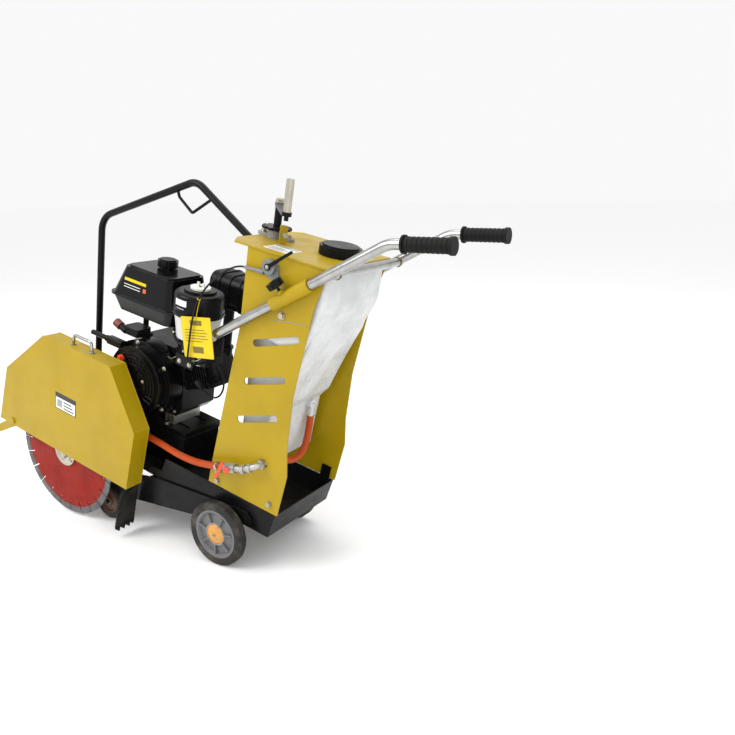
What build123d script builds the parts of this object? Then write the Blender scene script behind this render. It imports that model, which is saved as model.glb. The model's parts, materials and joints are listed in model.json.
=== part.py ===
"""Walk-behind concrete saw: petrol engine, water-cooled blade, raised on its front wheels for transport.

Every sub-part is drawn in the chassis frame: origin on the rear axle in the middle plane, +X to the rear
(towards the operator's grips), +Y to the operator's right (the belt side), -Y to the blade side, +Z square
to the tray floor. Saving a sub-part pitches the chassis nose-up by PITCH and stands it on the ground.
"""

import os
from math import atan2, cos, degrees, hypot, radians, sin, tan

from build123d import *

os.makedirs("parts", exist_ok=True)

# ---- where the machine stands ----
PITCH = 12.0  # nose-up angle of the tray with the blade lifted for transport
REAR_WHEEL_R = 100.0
AXLE_X = 203.2  # rear axle, from the middle of the machine's length
AXLE_Y = 17.8  # middle plane of the tray, from the middle of the machine's width

# ---- chassis ----
TRAY_HALF = 148.0
TRAY_FRONT = -800.0
TRAY_REAR = 175.0
TRAY_REAR_LOW = 160.0
FLOOR_LOW = 49.0
FLOOR_TOP = 53.0
WALL_TOP = 128.0
WALL_DROP = -262.0
LIP_TOP = 78.0
SHEET = 4.0
AXLE_R = 10.0
RUN = 0.05  # radial running clearance of every shaft in its bore

# ---- swing arm that carries the front wheels ----
ARM_PIVOT = (70.0, 75.0)
ARM_IN = 150.5
ARM_OUT = 155.5
FRONT_AXLE = (-520.0, -148.86)
FRONT_AXLE_R = 8.0
FRONT_WHEEL_R = 62.5
SCREW_X = -50.0
TRUNNION_Z = 5.0
TRUNNION_R = 14.0

# ---- blade and its drive ----
BLADE_R = 225.0
CORE_R = 203.0
BLADE_AXIS = (-683.0, -5.0)
BLADE_Y = -190.0
SPINDLE_R = 15.0
CRANK_AXIS = (-430.0, 331.0)
PULLEY_BLADE_R = 50.0
PULLEY_ENGINE_R = 62.0
BELT_Y = (163.0, 170.0, 177.0)

# ---- blade guard ----
GUARD_NEAR = -223.0
GUARD_FAR = -163.0
GUARD_SHEET = 3.0
GUARD = (
    (-1002.0, 8.0), (-959.0, 216.0), (-762.0, 394.0),
    (-445.0, 394.0), (-326.0, 214.0), (-350.0, 8.0),
)

# ---- console ----
PANEL_OUT = 148.0
PANEL = (
    (-81.0, 131.0),
    (181.0, 131.0),
    (196.0, 265.0),
    (184.0, 350.0),
    (181.0, 500.0),
    (196.0, 650.0),
    (208.0, 760.0),
    (238.0, 863.0),
    (-22.0, 863.0),
    (-22.0, 640.0),
    (-72.0, 225.0),
)
PANEL_SLOTS = (
    ((38.0, 612.0), (168.0, 661.0)),
    ((22.0, 494.0), (140.0, 538.0)),
    ((12.0, 373.0), (130.0, 420.0)),
)
PANEL_BOLTS = ((-47.0, 148.0), (-45.0, 179.0), (150.0, 157.0), (113.0, 712.0))
TOP_LOW = 863.0
TOP_HIGH = 868.0
NECK = (158.0, 14.0)

# ---- handlebar ----
TUBE_Y = 163.0
TUBE_R = 13.5
TUBE_LOW = (-90.0, 600.0)
TUBE_RISE = 37.4
TUBE_RUN = 610.0
GRIP_RISE = 12.0
SLEEVE_FROM = 228.0
SLEEVE_TO = 362.0
SLEEVE_R = 18.0
KNOB_AT = 272.0
KNOB_LEAN = 20.0


def place(shape):
    """Pitches a shape nose-up and stands the rear wheels on the ground."""
    return Pos(AXLE_X, AXLE_Y, REAR_WHEEL_R) * (Rot(0, PITCH, 0) * shape)


def save(builder, label):
    """Labels a finished sub-part and writes it in the machine's own frame."""
    part = place(builder.part)
    part.label = label
    export_step(part, "parts/" + label + ".step")


def side(y):
    """A sketch plane across the machine at y, drawn in (x, z); extruding it goes towards -Y."""
    return Plane.XZ.offset(-y)


def slab(outline, y_low, y_high, mode=Mode.ADD):
    """A flat plate between two y values with a given (x, z) outline."""
    with BuildSketch(side(y_high)) as flat:
        Polygon(*outline, align=None)
    extrude(flat.sketch, amount=y_high - y_low, mode=mode)


def disc(x, z, radius, y_low, y_high, mode=Mode.ADD):
    """A round across the machine, its axis along Y."""
    with BuildSketch(side(y_high)) as flat:
        with Locations((x, z)):
            Circle(radius)
    extrude(flat.sketch, amount=y_high - y_low, mode=mode)


def post(x, y, radius, z_low, z_high, mode=Mode.ADD):
    """A round standing on the tray, its axis along Z."""
    with BuildSketch(Plane.XY.offset(z_low)) as flat:
        with Locations((x, y)):
            Circle(radius)
    extrude(flat.sketch, amount=z_high - z_low, mode=mode)


def block(x_low, x_high, y_low, y_high, z_low, z_high, mode=Mode.ADD):
    """A square-cornered block between limits."""
    with Locations(((x_low + x_high) / 2, (y_low + y_high) / 2, (z_low + z_high) / 2)):
        Box(x_high - x_low, y_high - y_low, z_high - z_low, mode=mode)


def tube_point(along, off=0.0):
    """A point (x, z) on the handlebar tube's axis, a distance along it and square off it."""
    a = radians(TUBE_RISE)
    return (TUBE_LOW[0] + along * cos(a) - off * sin(a), TUBE_LOW[1] + along * sin(a) + off * cos(a))


def tube_plane(along, y):
    """A plane square to the handlebar tube at a distance along it."""
    x, z = tube_point(along)
    a = radians(TUBE_RISE)
    return Plane(origin=(x, y, z), x_dir=(0, 1, 0), z_dir=(cos(a), 0, sin(a)))


def knob_axis(y):
    """The clamp knob's outward direction: square to the tube and leaning away from the panel."""
    a = radians(TUBE_RISE)
    lean = radians(KNOB_LEAN)
    return (-sin(a) * cos(lean), sin(lean) if y > 0 else -sin(lean), cos(a) * cos(lean))


def easy_radii(points, most=400):
    """Bend radii for a hose laid through points: as easy as the runs on each side allow."""
    radii = []
    for before, here, after in zip(points, points[1:], points[2:]):
        run_in = Vector(here) - Vector(before)
        run_out = Vector(after) - Vector(here)
        half = radians(run_in.get_angle(run_out)) / 2
        radii.append(min(most, 0.45 * min(run_in.length, run_out.length) / tan(half)))
    return radii


# ================= chassis =================

WALL = (
    (TRAY_REAR_LOW, FLOOR_LOW),
    (TRAY_REAR, WALL_TOP),
    (WALL_DROP, WALL_TOP),
    (WALL_DROP - 16, LIP_TOP),
    (TRAY_FRONT, LIP_TOP),
    (TRAY_FRONT, FLOOR_LOW),
)
with BuildPart() as chassis_tray:
    block(TRAY_FRONT, TRAY_REAR_LOW, -TRAY_HALF, TRAY_HALF, FLOOR_LOW, FLOOR_TOP)
    slab(WALL, -TRAY_HALF, -TRAY_HALF + SHEET)
    slab(WALL, TRAY_HALF - SHEET, TRAY_HALF)
    # sloping rear wall and upright front wall
    slab(((160, 49), (175, 128), (171, 128), (156, 49)), -TRAY_HALF, TRAY_HALF)
    block(TRAY_FRONT, TRAY_FRONT + SHEET, -TRAY_HALF, TRAY_HALF, FLOOR_LOW, 110)
    # hollow pedestal under the engine with its top flange
    block(-606, -262, -74, 84, FLOOR_TOP, 168)
    block(-602, -266, -70, 80, FLOOR_TOP, 168, mode=Mode.SUBTRACT)
    block(-612, -256, -80, 90, 168, 172)
    # shallow channel that the engine slides on to tension the belts
    block(-608, -260, -76, 86, 172, 190)
    block(-604, -264, -72, 82, 172, 186, mode=Mode.SUBTRACT)
    for slot_x in (-560, -480, -392, -312):
        for slot_y in (-34, 44):
            with BuildSketch(Plane.XY.offset(186)):
                with Locations((slot_x, slot_y)):
                    SlotOverall(64, 10)
            extrude(amount=4, mode=Mode.SUBTRACT)
    # uprights that the console panels bolt to
    for wall_y in (-TRAY_HALF + SHEET, TRAY_HALF - 2 * SHEET):
        slab(((-66, 53), (-66, 200), (-34, 200), (-16, 53)), wall_y, wall_y + SHEET)
        slab(((120, 53), (130, 170), (164, 170), (156, 53)), wall_y, wall_y + SHEET)
    # rear axle hangers below the floor
    for hanger_y in (-141, 135):
        slab(((-32, 49), (32, 49), (20, -14), (8, -22), (-8, -22), (-20, -14)), hanger_y, hanger_y + 6)
        disc(0, 0, AXLE_R + RUN, hanger_y - 1, hanger_y + 7, mode=Mode.SUBTRACT)
    # tabs out to the blade guard
    block(-640, -600, GUARD_FAR, -TRAY_HALF, 56, 72)
    block(-560, -520, GUARD_FAR, -TRAY_HALF, 56, 72)
    # openings for the depth screw and for the swing arm's pivots
    block(SCREW_X - 24, SCREW_X + 24, -38, 38, FLOOR_LOW - 1, FLOOR_TOP + 1, mode=Mode.SUBTRACT)
    disc(ARM_PIVOT[0], ARM_PIVOT[1], 12, -156, -144)
    disc(ARM_PIVOT[0], ARM_PIVOT[1], 12, 144, 156)
    # drain holes in the rear of the tray
    for drain_y in (-90, 90):
        post(120, drain_y, 9, FLOOR_LOW - 1, FLOOR_TOP + 1, mode=Mode.SUBTRACT)
save(chassis_tray, "chassis_tray")

with BuildPart() as engine_rails:
    for rail_x in (-520, -352):
        block(rail_x - 20, rail_x + 20, -55, 62, 190, 224)
        block(rail_x - 12, rail_x + 12, -56, 63, 196, 218, mode=Mode.SUBTRACT)
        block(rail_x - 6, rail_x + 6, -55, 62, 196, 218)
save(engine_rails, "engine_rails")

with BuildPart() as rear_axle:
    disc(0, 0, AXLE_R, -184, 184)
    for collar_y in (-150, 142):
        disc(0, 0, 16, collar_y, collar_y + 8)
save(rear_axle, "rear_axle")


def revolved_ring(outline, x, z, y_mid, flip):
    """Turns a (radius, y offset) outline about the axis along Y through (x, z)."""
    profile = [(radius, offset * flip) for radius, offset in outline]
    plane = Plane(origin=(x, y_mid, z), x_dir=(1, 0, 0), z_dir=(0, 0, 1))
    with BuildSketch(plane) as flat:
        Polygon(*profile, align=None)
    revolve(flat.sketch, axis=Axis((x, y_mid, z), (0, 1, 0)))


REAR_TYRE = (
    (76, -14),
    (82, -15.5),
    (90, -17),
    (95, -16.5),
    (98, -14),
    (100, -11),
    (100, -5.5),
    (98.4, -5),
    (98.4, -3.5),
    (100, -3),
    (100, 3),
    (98.4, 3.5),
    (98.4, 5),
    (100, 5.5),
    (100, 11),
    (98, 14),
    (95, 16.5),
    (90, 17),
    (82, 15.5),
    (76, 14),
)
REAR_HUB = (
    (0, -17),
    (12, -16.8),
    (22, -15.4),
    (29, -12.6),
    (31, -11),
    (31, -13),
    (35, -13),
    (35, -8),
    (62, -5),
    (66, -11),
    (70, -14),
    (76, -14),
    (76, 14),
    (70, 14),
    (66, 4),
    (35, 4),
    (30, 14),
    (0, 14),
)


def rear_tyre(y_mid, flip):
    revolved_ring(REAR_TYRE, 0, 0, y_mid, flip)


def rear_hub(y_mid, flip):
    revolved_ring(REAR_HUB, 0, 0, y_mid, flip)
    for turn in range(7):
        angle = radians(20 + turn * 360 / 7)
        mid = 49
        plane = Plane(
            origin=(mid * cos(angle), y_mid - 9.5 * flip, mid * sin(angle)),
            x_dir=(cos(angle), 0, sin(angle)),
            z_dir=(0, 1, 0),
        )
        with BuildSketch(plane) as rib:
            Rectangle(34, 5)
        extrude(rib.sketch, amount=5, both=True)
    low, high = sorted((y_mid - 8 * flip, y_mid + 15 * flip))
    disc(0, 0, AXLE_R + RUN, low, high, mode=Mode.SUBTRACT)


with BuildPart() as near_rear_tyre:
    rear_tyre(-177, 1)
save(near_rear_tyre, "near_rear_tyre")

with BuildPart() as far_rear_tyre:
    rear_tyre(177, -1)
save(far_rear_tyre, "far_rear_tyre")

with BuildPart() as near_rear_hub:
    rear_hub(-177, 1)
save(near_rear_hub, "near_rear_hub")

with BuildPart() as far_rear_hub:
    rear_hub(177, -1)
save(far_rear_hub, "far_rear_hub")

# ================= swing arm and front wheels =================

ARM_SIDE = (
    (98, 66),
    (98, 84),
    (82, 98),
    (58, 98),
    (-282, 50),
    (-354, 31),
    (-456, 6),
    (-456, -104),
    (-410, -104),
    (-400, -76),
    (-359, -65),
    (-129, -8),
    (-64, -10),
    (-36, -10),
    (-20, 30),
    (82, 56),
)
with BuildPart() as swing_arm:
    for y_low, y_high in ((-ARM_OUT, -ARM_IN), (ARM_IN, ARM_OUT)):
        slab(ARM_SIDE, y_low, y_high)
        disc(ARM_PIVOT[0], ARM_PIVOT[1], 12 + RUN, y_low - 1, y_high + 1, mode=Mode.SUBTRACT)
    # front cross tube, axle hangers and axle
    block(-450, -416, -ARM_IN, ARM_IN, -100, -66)
    for hanger_y in (-110, 104):
        slab(
            ((-416, -66), (-450, -66), (-540, -130), (-540, -168), (-505, -168), (-416, -100)),
            hanger_y,
            hanger_y + 6,
        )
    disc(FRONT_AXLE[0], FRONT_AXLE[1], FRONT_AXLE_R, -150, 150)
    # lifting cross tube in two halves, joined by a frame round the depth screw
    disc(SCREW_X, TRUNNION_Z, TRUNNION_R, -ARM_IN, ARM_IN)
    block(SCREW_X - 42, SCREW_X + 35, -44, 44, -1, 9)
    block(SCREW_X - 24, SCREW_X + 24.5, -16, 16, -30, 30, mode=Mode.SUBTRACT)
save(swing_arm, "swing_arm")

FRONT_TYRE = (
    (43, -14),
    (56, -16),
    (60, -14.5),
    (62.5, -10),
    (62.5, 10),
    (60, 14.5),
    (56, 16),
    (43, 14),
)
FRONT_HUB = (
    (FRONT_AXLE_R + RUN, -15),
    (16, -15),
    (18, -9),
    (36, -7),
    (39, -13),
    (43, -13),
    (43, 13),
    (39, 13),
    (36, 7),
    (18, 9),
    (16, 15),
    (FRONT_AXLE_R + RUN, 15),
)

with BuildPart() as near_front_tyre:
    revolved_ring(FRONT_TYRE, FRONT_AXLE[0], FRONT_AXLE[1], -131, 1)
save(near_front_tyre, "near_front_tyre")

with BuildPart() as far_front_tyre:
    revolved_ring(FRONT_TYRE, FRONT_AXLE[0], FRONT_AXLE[1], 131, 1)
save(far_front_tyre, "far_front_tyre")

with BuildPart() as near_front_hub:
    revolved_ring(FRONT_HUB, FRONT_AXLE[0], FRONT_AXLE[1], -131, 1)
save(near_front_hub, "near_front_hub")

with BuildPart() as far_front_hub:
    revolved_ring(FRONT_HUB, FRONT_AXLE[0], FRONT_AXLE[1], 131, 1)
save(far_front_hub, "far_front_hub")

# ================= depth control =================

NUT_LOW = TRUNNION_Z + TRUNNION_R + 0.3
with BuildPart() as depth_nut:
    block(SCREW_X - 12, SCREW_X + 12, -34, 34, NUT_LOW, NUT_LOW + 9)
    post(SCREW_X, 0, 18, NUT_LOW, NUT_LOW + 22)
    post(SCREW_X, 0, AXLE_R + RUN, NUT_LOW - 1, NUT_LOW + 23, mode=Mode.SUBTRACT)
save(depth_nut, "depth_nut")

with BuildPart() as depth_screw:
    post(SCREW_X, 0, AXLE_R, -34, 868)
    post(SCREW_X, 0, 13, 868, 893)
    post(SCREW_X, 0, 15, -40, -34)
save(depth_screw, "depth_screw")

with BuildPart() as crank_housing:
    with BuildSketch(Plane.XY.offset(TOP_HIGH)):
        with Locations((SCREW_X, 0)):
            Circle(27)
            Rectangle(92, 30)
        with Locations((SCREW_X - 46, 0), (SCREW_X + 46, 0)):
            Circle(15)
    extrude(amount=8)
    post(SCREW_X, 0, 25, TOP_HIGH + 8, TOP_HIGH + 22)
    post(SCREW_X, 0, 13 + RUN, TOP_HIGH - 1, TOP_HIGH + 23, mode=Mode.SUBTRACT)
    for ear_x in (SCREW_X - 44, SCREW_X + 44):
        post(ear_x, 0, 5.5, TOP_HIGH - 1, TOP_HIGH + 9, mode=Mode.SUBTRACT)
save(crank_housing, "crank_housing")

CRANK_TURN = radians(-44.5)
CRANK_LONG = 148.5
crank_end = (SCREW_X + CRANK_LONG * cos(CRANK_TURN), CRANK_LONG * sin(CRANK_TURN))
with BuildPart() as crank_arm:
    # notched index disc
    with BuildSketch(Plane.XY.offset(893)):
        with Locations((SCREW_X, 0)):
            Circle(42)
            with PolarLocations(42, 12, start_angle=-38.4):
                Rectangle(16, 8, mode=Mode.SUBTRACT)
    extrude(amount=6)
    # upright sleeve and flat arm
    post(SCREW_X, 0, 11, 899, 956)
    with BuildSketch(Plane.XY.offset(956)):
        with Locations(Pos(SCREW_X, 0) * Rot(0, 0, degrees(CRANK_TURN)) * Pos(CRANK_LONG / 2, 0)):
            SlotOverall(CRANK_LONG + 26, 26)
    extrude(amount=10)
    post(SCREW_X, 0, 8, 966, 976)
    # grip spindle
    post(crank_end[0], crank_end[1], 6, 944, 956)
    post(crank_end[0], crank_end[1], 6, 966, 1044)
save(crank_arm, "crank_arm")

with BuildPart() as crank_grip:
    with BuildSketch(Plane.XY.offset(966.5)):
        with Locations(crank_end):
            Circle(10.5)
            Circle(6 + RUN, mode=Mode.SUBTRACT)
    extrude(amount=78)
    with BuildSketch(Plane.XY.offset(1044.5)):
        with Locations(crank_end):
            RegularPolygon(10.5, 12)
    extrude(amount=5)
save(crank_grip, "crank_grip")

PIN_TURN = radians(-38.4)
PIN_OUT = (cos(PIN_TURN), sin(PIN_TURN), 0)
with BuildPart() as index_pin:
    with BuildSketch(Plane(origin=(SCREW_X + 43 * PIN_OUT[0], 43 * PIN_OUT[1], 896), z_dir=PIN_OUT)):
        Circle(3.5)
    extrude(amount=52)
    with BuildSketch(Plane(origin=(SCREW_X + 92 * PIN_OUT[0], 92 * PIN_OUT[1], 896), z_dir=PIN_OUT)):
        Circle(7)
    extrude(amount=9)
save(index_pin, "index_pin")

# ================= console =================


def side_panel(y_low, y_high, tube_y, slots=()):
    """Side sheet of the console with its slots, welded sleeve, knob boss and gusset."""
    slab(PANEL, y_low, y_high)
    for start, end in slots:
        long = hypot(end[0] - start[0], end[1] - start[1])
        turn = degrees(atan2(end[1] - start[1], end[0] - start[0]))
        with BuildSketch(side(y_high)) as slot:
            with Locations(Pos((start[0] + end[0]) / 2, (start[1] + end[1]) / 2) * Rot(0, 0, turn)):
                SlotOverall(long + 20, 20)
        extrude(slot.sketch, amount=y_high - y_low, mode=Mode.SUBTRACT)
    for x, z in PANEL_BOLTS:
        disc(x, z, 5, y_low - 1, y_high + 1, mode=Mode.SUBTRACT)
    # handle sleeve
    with BuildSketch(tube_plane(SLEEVE_FROM, tube_y)) as sleeve:
        Circle(SLEEVE_R)
    extrude(sleeve.sketch, amount=SLEEVE_TO - SLEEVE_FROM)
    knob_x, knob_z = tube_point(KNOB_AT)
    with BuildSketch(Plane(origin=(knob_x, tube_y, knob_z), z_dir=knob_axis(tube_y))) as boss:
        Circle(9)
    extrude(boss.sketch, amount=24)
    with BuildSketch(tube_plane(SLEEVE_FROM - 1, tube_y)) as bore:
        Circle(TUBE_R + 0.4)
    extrude(bore.sketch, amount=SLEEVE_TO - SLEEVE_FROM + 2, mode=Mode.SUBTRACT)
    with BuildSketch(Plane(origin=(knob_x, tube_y, knob_z), z_dir=knob_axis(tube_y))) as stud:
        Circle(4 + RUN)
    extrude(stud.sketch, amount=26, mode=Mode.SUBTRACT)


with BuildPart() as near_side_panel:
    side_panel(-PANEL_OUT, -PANEL_OUT + SHEET, -TUBE_Y, PANEL_SLOTS)
    disc(111, 273, 13.5, -PANEL_OUT - 1, -PANEL_OUT + SHEET + 1, mode=Mode.SUBTRACT)
save(near_side_panel, "near_side_panel")

with BuildPart() as far_side_panel:
    side_panel(PANEL_OUT - SHEET, PANEL_OUT, TUBE_Y)
save(far_side_panel, "far_side_panel")

with BuildPart() as top_plate:
    with BuildSketch(Plane.XY.offset(TOP_LOW)):
        Polygon(
            (-66, -152), (238, -152), (238, 152), (-66, 152), (-95, 109), (-95, -109), align=None
        )
        with Locations((SCREW_X, 0)):
            Circle(16, mode=Mode.SUBTRACT)
        with Locations(NECK):
            Circle(50.5, mode=Mode.SUBTRACT)
    extrude(amount=TOP_HIGH - TOP_LOW)
    # down-turned web between the panels and the tab for the roll bar
    block(-22, -18, -144, 144, 770, TOP_LOW)
    block(-92, -87, -34, 34, 796, TOP_LOW)
    # index post with its pin bore
    post_x, post_y = SCREW_X + 78 * PIN_OUT[0], 78 * PIN_OUT[1]
    with BuildSketch(Plane.XY.offset(TOP_HIGH)):
        with Locations(Pos(post_x, post_y) * Rot(0, 0, degrees(PIN_TURN))):
            Rectangle(8, 20)
    extrude(amount=50)
    with BuildSketch(Plane(origin=(SCREW_X + 66 * PIN_OUT[0], 66 * PIN_OUT[1], 896), z_dir=PIN_OUT)):
        Circle(3.5 + RUN)
    extrude(amount=24, mode=Mode.SUBTRACT)
save(top_plate, "top_plate")

with BuildPart() as water_tank:
    # lower body, tapering towards the tray
    with BuildPart() as tank_low:
        with BuildSketch(side(126)):
            Polygon(
                (2, 700), (2, 236), (74, 228), (86, 240), (91, 330), (97, 404), (124, 440),
                (165, 560), (205, 660), (212, 700), align=None,
            )
        extrude(amount=252)
        fillet(tank_low.edges().filter_by(Axis.Y, reverse=True).group_by(Axis.Y)[0], 10)
        fillet(tank_low.edges().filter_by(Axis.Y, reverse=True).group_by(Axis.Y)[-1], 10)
    # upper body
    with BuildPart() as tank_high:
        with BuildSketch(side(138)):
            Polygon(
                (2, 852), (2, 640), (130, 610), (180, 622), (226, 730), (232, 760), (232, 852),
                align=None,
            )
        extrude(amount=276)
        fillet(tank_high.edges().filter_by(Axis.Y, reverse=True).group_by(Axis.Y)[0], 14)
        fillet(tank_high.edges().filter_by(Axis.Y, reverse=True).group_by(Axis.Y)[-1], 14)
    # filler neck
    post(NECK[0], NECK[1], 47, 850, 884)
    post(NECK[0], NECK[1], 41, 840, 885, mode=Mode.SUBTRACT)
    # outlet at the back, turned down to its barb
    with BuildSketch(Plane(origin=(86, 58, 400), z_dir=(1, 0, 0))):
        Circle(14)
    extrude(amount=30)
    post(112, 58, 8, 360, 402)
save(water_tank, "water_tank")

with BuildPart() as tank_cap:
    with BuildSketch(Plane.XY.offset(868.5)):
        with Locations(NECK):
            Circle(58)
            with PolarLocations(59.5, 30):
                Circle(3, mode=Mode.SUBTRACT)
    extrude(amount=24)
    post(NECK[0], NECK[1], 50, 892.5, 897)
    post(NECK[0], NECK[1], 47.6, 868, 885, mode=Mode.SUBTRACT)
save(tank_cap, "tank_cap")

# ================= handlebar =================

BEND = tube_point(TUBE_RUN)
GRIP_A = radians(GRIP_RISE)


def grip_point(along):
    """A point (x, z) on the grip's axis, a distance past the bend."""
    return (BEND[0] + along * cos(GRIP_A), BEND[1] + along * sin(GRIP_A))


CROSSBAR = (262.0, 862.5)
with BuildPart() as handlebar:
    for tube_y in (-TUBE_Y, TUBE_Y):
        end = grip_point(160)
        with BuildLine() as route:
            FilletPolyline(
                (TUBE_LOW[0], tube_y, TUBE_LOW[1]), (BEND[0], tube_y, BEND[1]),
                (end[0], tube_y, end[1]), radius=90,
            )
        with BuildSketch(Plane(origin=route.line @ 0, z_dir=route.line % 0)):
            Circle(TUBE_R)
        sweep(path=route.line)
    disc(CROSSBAR[0], CROSSBAR[1], 12, -TUBE_Y, TUBE_Y)
save(handlebar, "handlebar")

with BuildPart() as handle_grips:
    for tube_y in (-TUBE_Y, TUBE_Y):
        for along, thick, radius in ((38, 5, 22), (43, 112, 17.5), (155, 9, 21)):
            x, z = grip_point(along)
            with BuildSketch(Plane(origin=(x, tube_y, z), z_dir=(cos(GRIP_A), 0, sin(GRIP_A)))):
                Circle(radius)
            extrude(amount=thick)
        for ring in range(9):
            x, z = grip_point(50 + ring * 12)
            with BuildSketch(Plane(origin=(x, tube_y, z), z_dir=(cos(GRIP_A), 0, sin(GRIP_A)))):
                Circle(18.4)
            extrude(amount=5)
        x, z = grip_point(34)
        with BuildSketch(Plane(origin=(x, tube_y, z), z_dir=(cos(GRIP_A), 0, sin(GRIP_A)))):
            Circle(TUBE_R + 0.02)
        extrude(amount=126.1, mode=Mode.SUBTRACT)
save(handle_grips, "handle_grips")


def star_knob(y):
    """Fluted clamp knob with its stud, pressing on the handle tube."""
    x, z = tube_point(KNOB_AT)
    base = Plane(origin=(x, y, z), z_dir=knob_axis(y))
    foot = TUBE_R + 0.6
    with BuildSketch(base.offset(foot)) as stud:
        Circle(4)
    extrude(stud.sketch, amount=35 - foot)
    plane = base.offset(35)
    with BuildSketch(plane) as head:
        Circle(22)
        with PolarLocations(24.5, 6):
            Circle(6.5, mode=Mode.SUBTRACT)
    extrude(head.sketch, amount=17)
    with BuildSketch(plane.offset(17)) as face:
        Circle(9)
    extrude(face.sketch, amount=2)


with BuildPart() as near_star_knob:
    star_knob(-TUBE_Y)
save(near_star_knob, "near_star_knob")

with BuildPart() as far_star_knob:
    star_knob(TUBE_Y)
save(far_star_knob, "far_star_knob")

# ================= throttle =================

THROTTLE = (62.0, 830.0)
CABLE_Y = -157.0
with BuildPart() as throttle_housing:
    disc(THROTTLE[0], THROTTLE[1], 20, -164, -PANEL_OUT)
    slab(((40, 818), (46, 806), (84, 790), (92, 800), (84, 840), (50, 846)), -152, -PANEL_OUT)
    # cable ferrule and adjuster, level with the disc's lower edge
    with BuildSketch(Plane(origin=(46, CABLE_Y, 812), z_dir=(-1, 0, -0.05))):
        Circle(6)
    extrude(amount=24)
    with BuildSketch(Plane(origin=(24, CABLE_Y, 811), z_dir=(-1, 0, -0.05))):
        Circle(4.4)
    extrude(amount=42)
    disc(THROTTLE[0], THROTTLE[1], 5 + RUN, -165, -PANEL_OUT - 2, mode=Mode.SUBTRACT)
save(throttle_housing, "throttle_housing")

with BuildPart() as throttle_lever:
    disc(THROTTLE[0], THROTTLE[1], 5, -164.3, -PANEL_OUT - 3)
    disc(THROTTLE[0], THROTTLE[1], 9, -168, -164.3)
    slab(((60, 835), (66, 826), (134, 884), (130, 889)), -168, -165)
    with BuildSketch(Plane(origin=(118, -166.5, 873.5), z_dir=(0.76, 0, 0.65))):
        Circle(3.6)
    extrude(amount=20)
save(throttle_lever, "throttle_lever")

# ================= roll bar =================

with BuildPart() as roll_bar:
    with BuildLine() as route:
        FilletPolyline((-770, 0, 56), (-771, 0, 766), (-363, 0, 962.5), (-80, 0, 812.4), radius=[75, 58])
    with BuildSketch(Plane(origin=route.line @ 0, z_dir=route.line % 0)):
        Circle(11)
    sweep(path=route.line)
    block(-92, -60, -20, 20, 780, 850, mode=Mode.SUBTRACT)
    # foot plate on the tray and end plate on the console's tab
    block(-795, -740, -30, 30, FLOOR_TOP, FLOOR_TOP + 6)
    block(-97, -92, -32, 32, 798, 858)
    # lifting eye rod welded under the bend
    with BuildLine() as eye:
        FilletPolyline(
            (-438, 0, 924), (-428, 0, 902), (-371, 0, 866), (-306, 0, 916), (-300, 0, 924),
            radius=[6, 8, 6],
        )
    with BuildSketch(Plane(origin=eye.line @ 0, z_dir=eye.line % 0)):
        Circle(4.5)
    sweep(path=eye.line)
save(roll_bar, "roll_bar")

# ================= blade guard =================


with BuildPart() as blade_guard:
    slab(GUARD, GUARD_NEAR, GUARD_FAR)
    with BuildSketch(side(GUARD_FAR - GUARD_SHEET)):
        Polygon(*GUARD, align=None)
        offset(amount=-GUARD_SHEET)
    extrude(amount=GUARD_FAR - GUARD_NEAR - 2 * GUARD_SHEET, mode=Mode.SUBTRACT)
    # open underside
    block(-999, -353, GUARD_NEAR + GUARD_SHEET, GUARD_FAR - GUARD_SHEET, 0, 12, mode=Mode.SUBTRACT)
    # rear closing plate set in from the edge, below the shoulder
    slab(
        ((-326, 214), (-300, 214), (-300, 0), (-350, 0)),
        GUARD_NEAR + GUARD_SHEET,
        GUARD_FAR - GUARD_SHEET,
        mode=Mode.SUBTRACT,
    )
    slab(
        ((-329.4, 211), (-353, 8), (-353, 4), (-380, 4), (-380, 100), (-346, 211)),
        GUARD_NEAR + GUARD_SHEET,
        GUARD_FAR - GUARD_SHEET,
        mode=Mode.SUBTRACT,
    )
    slab(
        ((-338, 222), (-341, 222), (-365, 8), (-362, 8)),
        GUARD_NEAR + GUARD_SHEET,
        GUARD_FAR - GUARD_SHEET,
    )
    # slot in the front wall for the pointer, notch in the far plate for the spindle
    block(-1010, -940, -202, -184, 0, 150, mode=Mode.SUBTRACT)
    disc(BLADE_AXIS[0], BLADE_AXIS[1], 30, GUARD_FAR - GUARD_SHEET - 1, GUARD_FAR + 1, mode=Mode.SUBTRACT)
    # pointer's pivot bolt
    disc(-930, 24, 6, GUARD_NEAR + GUARD_SHEET, GUARD_FAR - GUARD_SHEET)
    disc(-930, 24, 11, GUARD_NEAR - 6, GUARD_NEAR)
save(blade_guard, "blade_guard")

with BuildPart() as guard_handle:
    with BuildLine() as route:
        FilletPolyline(
            (-652, -193, 394), (-648, -193, 428), (-566, -193, 428), (-562, -193, 394), radius=12,
        )
    with BuildSketch(Plane(origin=route.line @ 0, z_dir=route.line % 0)):
        Circle(5)
    sweep(path=route.line)
    block(-680, -534, -202, -184, 380, 394, mode=Mode.SUBTRACT)
    for foot_x in (-652, -562):
        post(foot_x, -193, 9, 394, 397)
save(guard_handle, "guard_handle")

POINTER = ((-922, 38), (-908, 22), (-918, 8), (-1140, -134), (-1156, -132), (-1154, -116), (-936, 38))
with BuildPart() as pointer_arm:
    slab(POINTER, -196, -190)
    disc(-930, 24, 6 + RUN, -197, -189, mode=Mode.SUBTRACT)
save(pointer_arm, "pointer_arm")

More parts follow.
